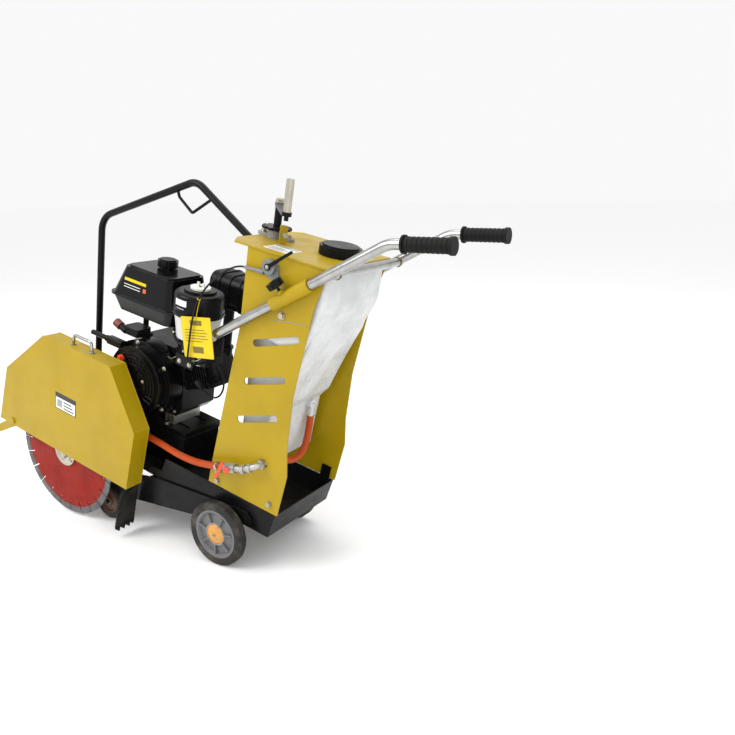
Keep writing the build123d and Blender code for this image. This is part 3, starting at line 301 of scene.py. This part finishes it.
def hub_paint(name, axis, middle, bands):
    """A wheel hub painted in bands: its middle's colour, then (radius in millimetres, colour) outwards."""
    f = Finish(name)
    split = f.add("ShaderNodeSeparateXYZ")
    f.put(split, Vector=f.coords)
    centre = at(axis[0], 0, axis[1])
    dx = f.math("SUBTRACT", split.outputs["X"], centre.x)
    dz = f.math("SUBTRACT", split.outputs["Z"], centre.z)
    radius = f.math("SQRT", f.math("ADD", f.math("MULTIPLY", dx, dx), f.math("MULTIPLY", dz, dz)))
    tone = middle
    for edge, color in bands:
        tone = f.mix(f.ramp(radius, edge / 1000 - 0.0004, edge / 1000 + 0.0004), tone, color)
    tone = f.mix(f.ramp(f.noise(26.0, 6.0, 0.65), 0.42, 0.72, 0.0, 0.4), tone, DIRT)
    f.bump(f.noise(160.0, 4.0), 0.25, 0.0008, soften=0.001)
    f.done(tone, f.ramp(f.noise(30.0, 4.0), 0.3, 0.7, 0.38, 0.62), coat=0.1)


paint(
    "yellow_paint", lin(168, 141, 8), lin(120, 92, 52), 0.36, wear=0.4, dust=0.04, spec=0.25,
    coat=0.03, mottle=0.05,
)
paint("black_steel", lin(15, 15, 16), lin(110, 104, 96), 0.3, wear=0.35, dust=0.03, spec=0.14)
paint(
    "engine_black", lin(18, 18, 19), lin(110, 108, 102), 0.3, wear=0.35, dust=0.03, spec=0.14,
    grain=180.0,
)
paint("starter_black", lin(12, 12, 13), lin(90, 90, 88), 0.2, wear=0.15, dust=0.01, spec=0.2)
plastic("tank_black", lin(8, 8, 9), 0.14, bump=0.03, dust=0.01, spec=0.22)
steel("zinc_steel", lin(190, 184, 168), 0.34, stain=lin(120, 104, 78))
steel("galvanised", lin(196, 196, 190), 0.42, stain=lin(150, 148, 140))
steel("alloy", lin(208, 208, 204), 0.4)
steel("cast_grey", lin(150, 150, 148), 0.55, metal=0.5, bump=0.35)
steel("chrome_tube", lin(178, 178, 176), 0.2, bump=0.02)
paint("muffler_black", lin(16, 16, 17), lin(110, 90, 72), 0.35, wear=0.3, dust=0.03, spec=0.14)
steel("blade_segment", lin(110, 110, 112), 0.55, metal=0.6, bump=0.5)
blade_paint("blade_red")
plastic("black_plastic", lin(10, 10, 11), 0.3, dust=0.02, spec=0.16)
plastic("grey_plastic", lin(120, 122, 122), 0.4)
plastic("white_plastic", lin(228, 228, 222), 0.4)
plastic("cleaner_grey", lin(196, 198, 196), 0.42)
plastic("red_plastic", lin(222, 66, 22), 0.35, coat=0.2)
plastic("dark_red_plastic", lin(110, 26, 24), 0.45)
plastic("tank_plastic", lin(204, 206, 206), 0.3, grain=160.0, bump=0.5, dust=0.0, sag=40.0)
plastic("tag_yellow", lin(214, 188, 20), 0.35, dust=0.0, spec=0.25)
rubber("wheel_rubber", lin(44, 43, 42), 0.7, dust=0.2)
rubber("grip_rubber", lin(13, 13, 13), 0.55, dust=0.02)
rubber("cable_black", lin(16, 16, 16), 0.45, dust=0.05)
rubber("flap_rubber", lin(15, 15, 15), 0.7, dust=0.06)
rubber("belt_rubber", lin(22, 22, 22), 0.8, dust=0.1)
rubber("orange_hose", lin(172, 66, 20), 0.45, dust=0.08, bump=0.1)
hub_paint("wheel_hub", (0, 0), lin(214, 150, 62), ((31.5, lin(140, 140, 136)), (36, lin(100, 100, 102))))
hub_paint("front_hub", FRONT_AXLE, lin(120, 116, 108), ((12, lin(96, 66, 44)),))

# finishes that only the added pieces wear
plastic("label_white", lin(236, 236, 232), 0.3, dust=0.02)
plastic("label_black", lin(28, 28, 30), 0.3, dust=0.02)
plastic("label_grey", lin(150, 152, 154), 0.3, dust=0.02)
plastic("label_orange", lin(226, 96, 24), 0.3, dust=0.02)
plastic("tag_print", lin(112, 98, 22), 0.4, dust=0.0)
steel("weld", lin(120, 104, 62), 0.5, metal=0.4, bump=0.6)

slots = {s["node"]: s["material_slot"] for s in frame["record"]["subparts"]}
for name, node in frame["nodes"].items():
    node.data.materials.clear()
    node.data.materials.append(M[slots[name]])

# ================= pieces too fine for the CAD =================


def smooth_path(points, fine):
    """Points with eased ones between them (Catmull-Rom)."""
    if len(points) < 3 or fine < 2:
        return points
    out = []
    for i in range(len(points) - 1):
        a, b = points[max(i - 1, 0)], points[i]
        c, d = points[i + 1], points[min(i + 2, len(points) - 1)]
        for k in range(fine):
            t = k / fine
            square = (2 * a - 5 * b + 4 * c - d) * t * t
            cube = (3 * b - a - 3 * c + d) * t ** 3
            out.append(0.5 * ((2 * b) + (c - a) * t + square + cube))
    out.append(points[-1])
    return out


class Piece:
    """One mesh gathered from turned, swept and flat shapes; each wears the piece's slot unless told."""

    def __init__(self, name, slot, body="chassis"):
        self.name, self.slot, self.body = name, slot, body
        self.points, self.faces, self.marks, self.finishes = [], [], [], []

    def add(self, points, faces, finish):
        if finish not in self.finishes:
            self.finishes.append(finish)
        start = len(self.points)
        self.points += points
        self.faces += [[start + i for i in face] for face in faces]
        self.marks += [self.finishes.index(finish)] * len(faces)

    def rings(self, loops, finish=None):
        """Joins loops of equal length into a closed skin."""
        count = len(loops[0])
        faces = []
        for row in range(len(loops) - 1):
            low, high = row * count, (row + 1) * count
            for i in range(count):
                j = (i + 1) % count
                faces.append([low + i, low + j, high + j, high + i])
        faces.append(list(range(count))[::-1])
        faces.append([(len(loops) - 1) * count + i for i in range(count)])
        self.add([p for loop in loops for p in loop], faces, finish or self.slot)

    def lathe(self, origin, axis, profile, steps=28, finish=None):
        """Turns (radius, height) pairs round an axis; six steps give a hexagon."""
        z = Vector(axis).normalized()
        x = z.orthogonal().normalized()
        y = z.cross(x)
        turns = [2 * pi * i / steps for i in range(steps)]
        loops = []
        for radius, height in profile:
            base = Vector(origin) + z * height
            loops.append([base + (x * cos(a) + y * sin(a)) * max(radius, 0.01) for a in turns])
        self.rings(loops, finish)

    def sweep(self, points, radius, finish=None, steps=10, ripple=0.0, fine=6):
        """A round rod through points, eased between them; ripple makes it a weld bead."""
        path = smooth_path([Vector(p) for p in points], fine)
        turns = [2 * pi * k / steps for k in range(steps)]
        loops = []
        side_way = None
        for i, here in enumerate(path):
            ahead = (path[min(i + 1, len(path) - 1)] - path[max(i - 1, 0)]).normalized()
            if side_way is None:
                side_way = ahead.orthogonal().normalized()
            side_way = (side_way - ahead * side_way.dot(ahead)).normalized()
            other = ahead.cross(side_way)
            r = radius * (1 + ripple * sin(i * 2.1))
            loops.append([here + (side_way * cos(a) + other * sin(a)) * r for a in turns])
        self.rings(loops, finish)

    def flat(self, outline, lift, finish=None):
        """A thin plate: an outline raised along a vector, with a small bevel round its top."""
        lift = Vector(lift)
        base = [Vector(p) for p in outline]
        middle = sum(base, Vector()) / len(base)
        edge = lift.length
        top = [p + lift * 0.6 for p in base]
        inner = [p + lift + (middle - p).normalized() * edge * 0.5 for p in base]
        self.rings([base, top, inner], finish)

    def bolt(self, origin, axis, across, tall, finish=None):
        """A washer and a chamfered hexagon head."""
        w = across * 1.35
        self.lathe(origin, axis, ((w, 0), (w, 1.0), (w - 0.6, 1.5), (across, 1.5)), 24, finish)
        head = ((across, 1.4), (across, tall), (across * 0.84, tall + 0.8), (0.0, tall + 0.8))
        self.lathe(origin, axis, head, 6, finish)

    def done(self):
        mesh = bpy.data.meshes.new(self.name)
        mesh.from_pydata([at(*p) for p in self.points], [], self.faces)
        for finish in self.finishes:
            mesh.materials.append(M[finish])
        mesh.polygons.foreach_set("material_index", self.marks)
        mesh.update()
        mesh.shade_smooth()
        mesh.set_sharp_from_angle(angle=radians(35))
        obj = bpy.data.objects.new(self.name, mesh)
        bpy.context.scene.collection.objects.link(obj)
        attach(obj, self.body)
        return obj


# weld beads along the handle sleeves
WELD_FROM, WELD_PITCH, SLEEVE_R = 230, 13, 11.5
welds = Piece("sleeve_welds", "yellow_paint")
for y in (-149.0, 149.0):
    for off in (-SLEEVE_R, SLEEVE_R):
        run = [tube_point(WELD_FROM + WELD_PITCH * k, off) for k in range(11)]
        welds.sweep([(x, y, z) for x, z in run], 2.2, ripple=0.16)
welds.done()

# weld beads round the ends of the handlebar's crossbar
CROSSBAR, CROSSBAR_R = (262, 862.5), 12.4
bar_welds = Piece("crossbar_welds", "chrome_tube", "handlebar")
for y in (-149.6, 149.6):
    turns = [a * pi / 8 for a in range(17)]
    loop = [(CROSSBAR[0] + CROSSBAR_R * cos(a), y, CROSSBAR[1] + CROSSBAR_R * sin(a)) for a in turns]
    bar_welds.sweep(loop, 1.9, "weld", ripple=0.15, fine=4)
bar_welds.done()

# crease pressed in the near sheet below the handle sleeve: a grey line painted along it as its shading,
# and a raised fold under it
CREASE = ((86, 692), (112, 697), (150, 704), (194, 708))
crease = Piece("panel_crease", "yellow_paint")
crease.sweep([(x, -148.1, z) for x, z in CREASE], 0.9, "label_grey")
crease.sweep([(x, -148.2, z - 1.6) for x, z in CREASE], 1.1)
crease.done()

# folded rim of the blade guard
rim = Piece("guard_rim", "yellow_paint")
for y in GUARD_FACES:
    for start, end in zip(GUARD[:-1], GUARD[1:]):
        rim.sweep([(start[0], y, start[1]), (end[0], y, end[1])], 1.7, fine=1)
rim.done()

# engine trim: bolts round the starter's cowl and on its middle, and its cooling ribs
engine = Piece("engine_trim", "zinc_steel")
for angle in (35, 100, 165, 215, 270, 325):
    engine.bolt(round_shaft(-112, 120, radians(angle)), (0, -1, 0), 5.5, 5)
for angle in (20, 140, 260):
    engine.bolt(round_shaft(-150, 52, radians(angle)), (0, -1, 0), 4, 3)
RIBS, RIB_Y, RIB_TWIST = 28, -146.2, 0.12
for k in range(RIBS):
    a = 2 * pi * k / RIBS
    rib = [round_shaft(RIB_Y, 64, a), round_shaft(RIB_Y, 93, a + RIB_TWIST)]
    engine.sweep(rib, 1.7, "starter_black", 6, fine=1)
# the carburettor's bracket with its bolts, the throttle linkage, and screws in the casting above
bracket = [(-262, -134, 448), (-196, -134, 448), (-190, -134, 484), (-262, -134, 484)]
engine.flat(bracket, (0, -3, 0), "engine_black")
for x in (-246, -206):
    engine.bolt((x, -137, 462), (0, -1, 0), 5.5, 4)
engine.sweep([(-196, -136, 478), (-176, -137, 486), (-164, -134, 496)], 1.3)
engine.sweep([(-262, -135, 470), (-290, -128, 452), (-318, -112, 446)], 1.5)
for x, z in ((-240, 492), (-180, 492), (-240, 536), (-180, 536)):
    engine.bolt((x, -128, z), (0, -1, 0), 3.6, 3)
# the carburettor's float bowl, then the fuel line and breather hose with the line's two clips
bowl = ((23, 0), (24, 3), (24, 22), (20, 30), (7, 32), (7, 36))
engine.lathe((-212, -86, 482), (0, 0, -1), bowl, 32, "alloy")
fuel_line = [(-318, -92, 541), (-312, -100, 520), (-286, -108, 502), (-251, -104, 500)]
engine.sweep(fuel_line, 3.6, "cable_black")
breather = [(-300, -40, 452), (-276, -70, 476), (-262, -84, 520), (-252, -92, 560)]
engine.sweep(breather, 8, "cable_black", 14)
for spot, way in (((-314, -98, 526), (0.4, -0.4, -0.8)), ((-260, -105, 501), (1, 0.1, 0))):
    engine.lathe(spot, way, ((4.6, 0), (5.2, 0.6), (5.2, 4.4), (4.6, 5)), 20)
# bolts through the engine's feet, and a row low on the crankcase
for x in (-520, -352):
    for y in (-48, 56):
        engine.bolt((x, y, 232), (0, 0, 1), 7, 6)
for k in range(5):
    engine.bolt((-540 + k * 52, -56, 238), (0, -1, 0), 4.5, 4)
engine.done()


def on_fuel_tank(x, z):
    """A point on the fuel tank's near side, which leans in 10 mm over its 89 mm height."""
    return (x, -136 + (z - 595) * 10 / 89, z)


# plain stripes on the fuel tank's side
stripes = Piece("tank_stripes", "tank_black")
for finish, low, high, first, last in (
    ("tag_yellow", 642, 651, -500, -408),
    ("label_white", 630, 632, -500, -430),
    ("label_white", 622, 624, -500, -430),
    ("label_orange", 622, 634, -418, -406),
):
    quad = [on_fuel_tank(x, z) for x, z in ((first, low), (last, low), (last, high), (first, high))]
    stripes.flat(quad, (0, -0.7, 0.08), finish)
stripes.done()

# blank plate bent round the air cleaner's cover, with one bar on it
PLATE_FRONT, PLATE_BACK = 72.6, 71.8
plate = Piece("cleaner_plate", "black_plastic")
for finish, low, high, first, last in (
    ("label_white", 650, 668, 250, 284),
    ("label_grey", 640, 644, 256, 278),
):
    loops = []
    for k in range(13):
        a = radians(first + (last - first) * k / 12)
        section = (
            (PLATE_BACK, low),
            (PLATE_FRONT, low + 0.4),
            (PLATE_FRONT, high - 0.4),
            (PLATE_BACK, high),
        )
        loops.append([round_cleaner(radius, a, z) for radius, z in section])
    plate.rings(loops, finish)
plate.done()

# blank label on the guard: a plate, a face and bars, each layer (y, thickness) on the one before
LABEL_X, LABEL_Z = -698, 164
LAYERS = ((-223, -0.6), (-223.6, -0.3), (-223.9, -0.3))
guard_label = Piece("guard_label", "yellow_paint")
for layer, x0, x1, z0, z1, finish in (
    (0, 0, 102, 0, 58, "label_black"),
    (1, 3, 99, 3, 42, "label_white"),
    (2, 42, 92, 9, 13, "label_black"),
    (2, 42, 86, 20, 24, "label_black"),
    (2, 42, 80, 31, 35, "label_black"),
    (2, 10, 34, 10, 35, "label_grey"),
):
    y, out = LAYERS[layer]
    quad = [(LABEL_X + x, y, LABEL_Z + z) for x, z in ((x0, z0), (x1, z0), (x1, z1), (x0, z1))]
    guard_label.flat(quad, (0, out, 0), finish)
guard_label.done()

# blank label on the top plate
TOP_Z = 868
top_label = Piece("top_label", "yellow_paint")
for x0, x1, y0, y1, finish, z in (
    (10, 92, -128, -66, "label_white", TOP_Z),
    (15, 87, -82, -71, "label_grey", TOP_Z + 0.5),
    (15, 70, -122, -118, "label_grey", TOP_Z + 0.5),
    (15, 78, -112, -108, "label_grey", TOP_Z + 0.5),
    (15, 62, -102, -98, "label_grey", TOP_Z + 0.5),
):
    top_label.flat([(x0, y0, z), (x1, y0, z), (x1, y1, z), (x0, y1, z)], (0, 0, 0.5), finish)
top_label.done()

TAG_MIDDLE = Vector((-136, -187.2, 580))
TAG_ACROSS = Vector((0.97, 0, 0.24)).normalized()
TAG_UP = Vector((-0.24, 0, 0.97)).normalized()


def on_tag(u, v):
    """A point on the tag's outer face, u along it and v up it from its middle."""
    return TAG_MIDDLE + TAG_ACROSS * u + TAG_UP * v


# bars on the hanging tag, in place of lettering
tag_print = Piece("tag_print", "tag_yellow")
for u0, u1, v0, v1 in (
    (-22, 22, 34, 48),
    (-44, 30, 20, 22),
    (-44, 38, 12, 14),
    (-44, 34, 4, 6),
    (-44, 40, -4, -2),
    (-44, 20, -12, -10),
    (-20, 20, -44, -26),
):
    corners = [on_tag(u, v) for u, v in ((u0, v0), (u1, v0), (u1, v1), (u0, v1))]
    tag_print.flat(corners, (0, -0.3, 0), "tag_print")
tag_print.done()

# belt cover: raised rim, cover bolts and a row of ribs
COVER_Y = 193
BLADE_END = Vector((BLADE_AXIS[0], COVER_Y, BLADE_AXIS[1]))
ENGINE_END = Vector((CRANKSHAFT[0], COVER_Y, CRANKSHAFT[1]))
BLADE_END_R, ENGINE_END_R = 64, 74
lean = (ENGINE_END - BLADE_END).normalized()
across = Vector((-lean.z, 0, lean.x))


def cover_end(centre, radius):
    """Points round one end of the belt cover; a minus radius turns them to its lower end."""
    turns = [pi * k / 12 for k in range(1, 12)]
    return [centre + (across * cos(a) + lean * sin(a)) * radius for a in turns]


outline = [BLADE_END + across * BLADE_END_R, ENGINE_END + across * ENGINE_END_R]
outline += cover_end(ENGINE_END, ENGINE_END_R)
outline += [ENGINE_END - across * ENGINE_END_R, BLADE_END - across * BLADE_END_R]
outline += cover_end(BLADE_END, -BLADE_END_R)
outline.append(outline[0])
cover = Piece("belt_cover_trim", "black_steel")
cover.sweep(outline, 2.4, fine=1)
for share in (0.1, 0.55, 1.0):
    for sign in (1, -1):
        spot = BLADE_END.lerp(ENGINE_END, share) + across * sign * 52
        cover.bolt(spot, (0, 1, 0), 5, 4, "zinc_steel")
for k in range(6):
    mid = BLADE_END.lerp(ENGINE_END, 0.36 + k * 0.055)
    cover.sweep([mid - across * 26, mid + across * 26], 1.6, fine=1)
cover.done()

# grease nipples on the rear hubs, each at the hub's own outer face
BASE = ((5, 0), (5, 3), (4, 3.6))
STEM = ((2.2, 3), (2.2, 6), (3, 7), (3, 9), (1.4, 11), (0, 11))
for wheel, hub, out in (("near_rear_wheel", "near_rear_hub", -1), ("far_rear_wheel", "far_rear_hub", 1)):
    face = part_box(hub)[0 if out < 0 else 1][1] * 1000 - AXLE[1]
    foot = (0, face - out * 0.5, 0)
    nipple = Piece(hub + "_nipple", "zinc_steel", wheel)
    nipple.lathe(foot, (0, out, 0), BASE, 6)
    nipple.lathe(foot, (0, out, 0), STEM, 16)
    nipple.done()

# weld beads along the tray's lower corners and under the flange of the engine's pedestal
tray_welds = Piece("tray_welds", "black_steel")
for y in (-148.4, 148.4):
    tray_welds.sweep([(x, y, 51) for x in range(-796, 160, 14)], 1.7, ripple=0.2, fine=1)
for y in (-78, 88):
    tray_welds.sweep([(x, y, 168.8) for x in range(-604, -262, 12)], 1.8, ripple=0.2, fine=1)
tray_welds.done()

# hose clamps with their screws
CLAMP = ((13.2, 0), (14.0, 0.5), (14.0, 8.5), (13.2, 9))
clamps = Piece("hose_clamps", "zinc_steel")
for origin, way in (((-22, -177, 216.4), (-0.95, 0, -0.31)), ((-362, -137, 165.2), (-1, 0, 0))):
    clamps.lathe(origin, way, CLAMP, 36)
    clamps.bolt((origin[0] - 4, origin[1] - 14, origin[2] + 6), (0, 0, 1), 3.2, 4)
clamps.done()

# the crank's washer and nut, and the throttle's cap screw
NUT_FOOT = 966
crank_nut = Piece("crank_nut", "zinc_steel", "depth_crank")
crank_nut.lathe((*SCREW, NUT_FOOT), (0, 0, 1), ((13, 0), (13, 1.6), (12.4, 2)))
crank_nut.lathe((*SCREW, NUT_FOOT + 2), (0, 0, 1), ((11.5, 0), (11.5, 7), (10, 8.5), (6, 8.5)), 6)
crank_nut.done()
throttle_screw = Piece("throttle_screw", "zinc_steel", "throttle_lever")
throttle_screw.bolt((THROTTLE[0], -168, THROTTLE[1]), (0, -1, 0), 4.2, 2.5)
throttle_screw.done()

# rubber splash flap with a frayed lower edge; it leans back a little, by an angle of this sine and cosine
LEAN_SIN, LEAN_COS = 0.1114, 0.9938
FLAP_THICK = Vector((LEAN_COS, 0, -LEAN_SIN)) * 4.9


def on_flap(u, v):
    """A point on the flap's front face, u across it and v down it."""
    return Vector((-355.6 - LEAN_SIN * v, -193 + u, 62 - LEAN_COS * v))


flap = Piece("splash_flap_skin", "flap_rubber")
TOOTH_PITCH = 5.05
upper = ((-26, 0.5), (26, 0.5), (26, 68), (-26, 68))
flare = ((-26, 67), (26, 67), (30, 77), (32.5, 200), (-43, 200), (-38, 77))
shapes = [upper, flare]
for tooth in range(15):
    u = -43 + tooth * TOOTH_PITCH
    tip = 214 + 4.5 * ((tooth * 5) % 4)
    shapes.append(((u, 199), (u + 4.8, 199), (u + 4.4, tip - 5), (u + 2.6, tip), (u + 0.6, tip - 8)))
for shape in shapes:
    flap.flat([on_flap(u, v) for u, v in shape], FLAP_THICK)
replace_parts(flap.done(), "splash_flap")

# ================= cords: each follows the route of its CAD solid =================


def cord_curve(name, route, radius, finish):
    curve = bpy.data.curves.new(name, "CURVE")
    curve.dimensions = "3D"
    spline = curve.splines.new("NURBS")
    spline.points.add(len(route) - 1)
    for control, p in zip(spline.points, route):
        control.co = (*at(*p), 1.0)
    spline.order_u = 3
    spline.use_endpoint_u = True
    spline.resolution_u = 12
    curve.bevel_depth = radius / 1000
    curve.bevel_resolution = 4
    curve.use_fill_caps = True
    curve.materials.append(M[finish])
    obj = bpy.data.objects.new(name, curve)
    bpy.context.scene.collection.objects.link(obj)
    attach(obj, "chassis")
    return obj


CABLE = (
    (-18.2, -157, 808.9),
    (-40, -157, 807.8),
    (-72, -171, 786),
    (-108, -190, 744),
    (-138, -194, 690),
    (-154, -194, 630),
    (-158, -194, 560),
    (-161, -194, 482),
    (-161, -128.3, 482),
)
OUTER_HOSE = (
    (-8.3, -177, 220.9),
    (-70, -177, 201),
    (-150, -170, 183),
    (-230, -157, 174),
    (-300, -142, 168),
    (-350, -137, 165),
    (-383.7, -137, 165),
)
INNER_HOSE = (
    (111, -121.7, 273),
    (111, -88, 273),
    (122, -30, 238),
    (122, 30, 246),
    (114, 58, 300),
    (112, 58, 359.7),
)
LEAD = (
    (-206, -72, 368),
    (-176, -73, 352),
    (-138, -75, 362),
    (-118, -76, 398),
    (-124, -76, 440),
    (-152, -76, 468),
    (-186, -76, 478.5),
)

# ribbed rubber boot on the spark plug, which the ignition lead runs into
BOOT = ((4, -6), (6.5, -4), (7, 3), (9.6, 6), (9.6, 12), (8.6, 13), (9.6, 14), (9.6, 29))
boot = Piece("plug_boot", "cable_black")
boot.lathe((-207, -72, 368.6), (-0.86, 0.02, 0.5), BOOT)
boot_piece = boot.done()

for name, node, route, radius, finish, length, riders in (
    ("throttle_cable_run", "throttle_cable", CABLE, 2.6, "cable_black", 0.4379, ()),
    ("outer_hose_run", "water_hoses", OUTER_HOSE, 10.5, "orange_hose", 0.3842, ()),
    ("inner_hose_run", "water_hoses", INNER_HOSE, 10.5, "orange_hose", 0.2734, ()),
    ("ignition_lead_run", "ignition_lead", LEAD, 3.0, "cable_black", 0.2239, (boot_piece,)),
):
    run = cord_curve(name, route, radius, finish)
    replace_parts(run, node)

# ================= stage =================

FLOOR_HALF = 40
corners = [(x * FLOOR_HALF, y * FLOOR_HALF, 0) for x, y in ((-1, -1), (1, -1), (1, 1), (-1, 1))]
mesh = bpy.data.meshes.new("floor")
mesh.from_pydata(corners, [], [(0, 1, 2, 3)])
floor = bpy.data.objects.new("floor", mesh)
bpy.context.scene.collection.objects.link(floor)
matt = Finish("floor")
blotches = matt.ramp(matt.noise(3.0, 4.0), 0.3, 0.7, 0.0, 0.15)
tone = matt.mix(blotches, lin(253, 253, 253), lin(250, 250, 249))
mesh.materials.append(matt.done(tone, 0.85, spec=0.2))

world = bpy.data.worlds.new("studio")
world.use_nodes = True
backdrop = world.node_tree.nodes["Background"]
backdrop.inputs["Color"].default_value = (1.0, 1.0, 1.0, 1.0)
backdrop.inputs["Strength"].default_value = 0.95
bpy.context.scene.world = world


def soft_light(name, place, target, size, power):
    light = bpy.data.lights.new(name, "AREA")
    light.shape = "RECTANGLE"
    light.size, light.size_y = size
    light.energy = power
    obj = bpy.data.objects.new(name, light)
    obj.location = place
    obj.rotation_euler = (Vector(place) - Vector(target)).to_track_quat("Z", "Y").to_euler()
    bpy.context.scene.collection.objects.link(obj)


soft_light("key", (-1.6, -2.6, 3.2), (0, 0, 0.5), (2.2, 2.2), 88)
soft_light("fill", (3.4, -2.2, 2.0), (0.1, 0, 0.5), (2.5, 2.0), 30)
soft_light("top", (0.2, 0.6, 4.0), (0, 0, 0.4), (3.0, 3.0), 52)

# the camera stands behind the machine on its blade side, looking forwards and down
CAMERA_AT = (1.59075, -1.53496, 1.09729)
CAMERA_AXES = Matrix((
    (0.852038, -0.118754, 0.509833),
    (0.523231, 0.223269, -0.822423),
    (-0.016163, 0.967496, 0.252369),
))
camera = bpy.data.cameras.new("camera")
camera.sensor_width = 36.0
camera.lens = 34.28
camera.clip_end = 60.0
eye = bpy.data.objects.new("camera", camera)
eye.matrix_world = Matrix.Translation(CAMERA_AT) @ CAMERA_AXES.to_4x4()
bpy.context.scene.collection.objects.link(eye)
bpy.context.scene.camera = eye
bpy.context.scene.view_settings.view_transform = "Standard"
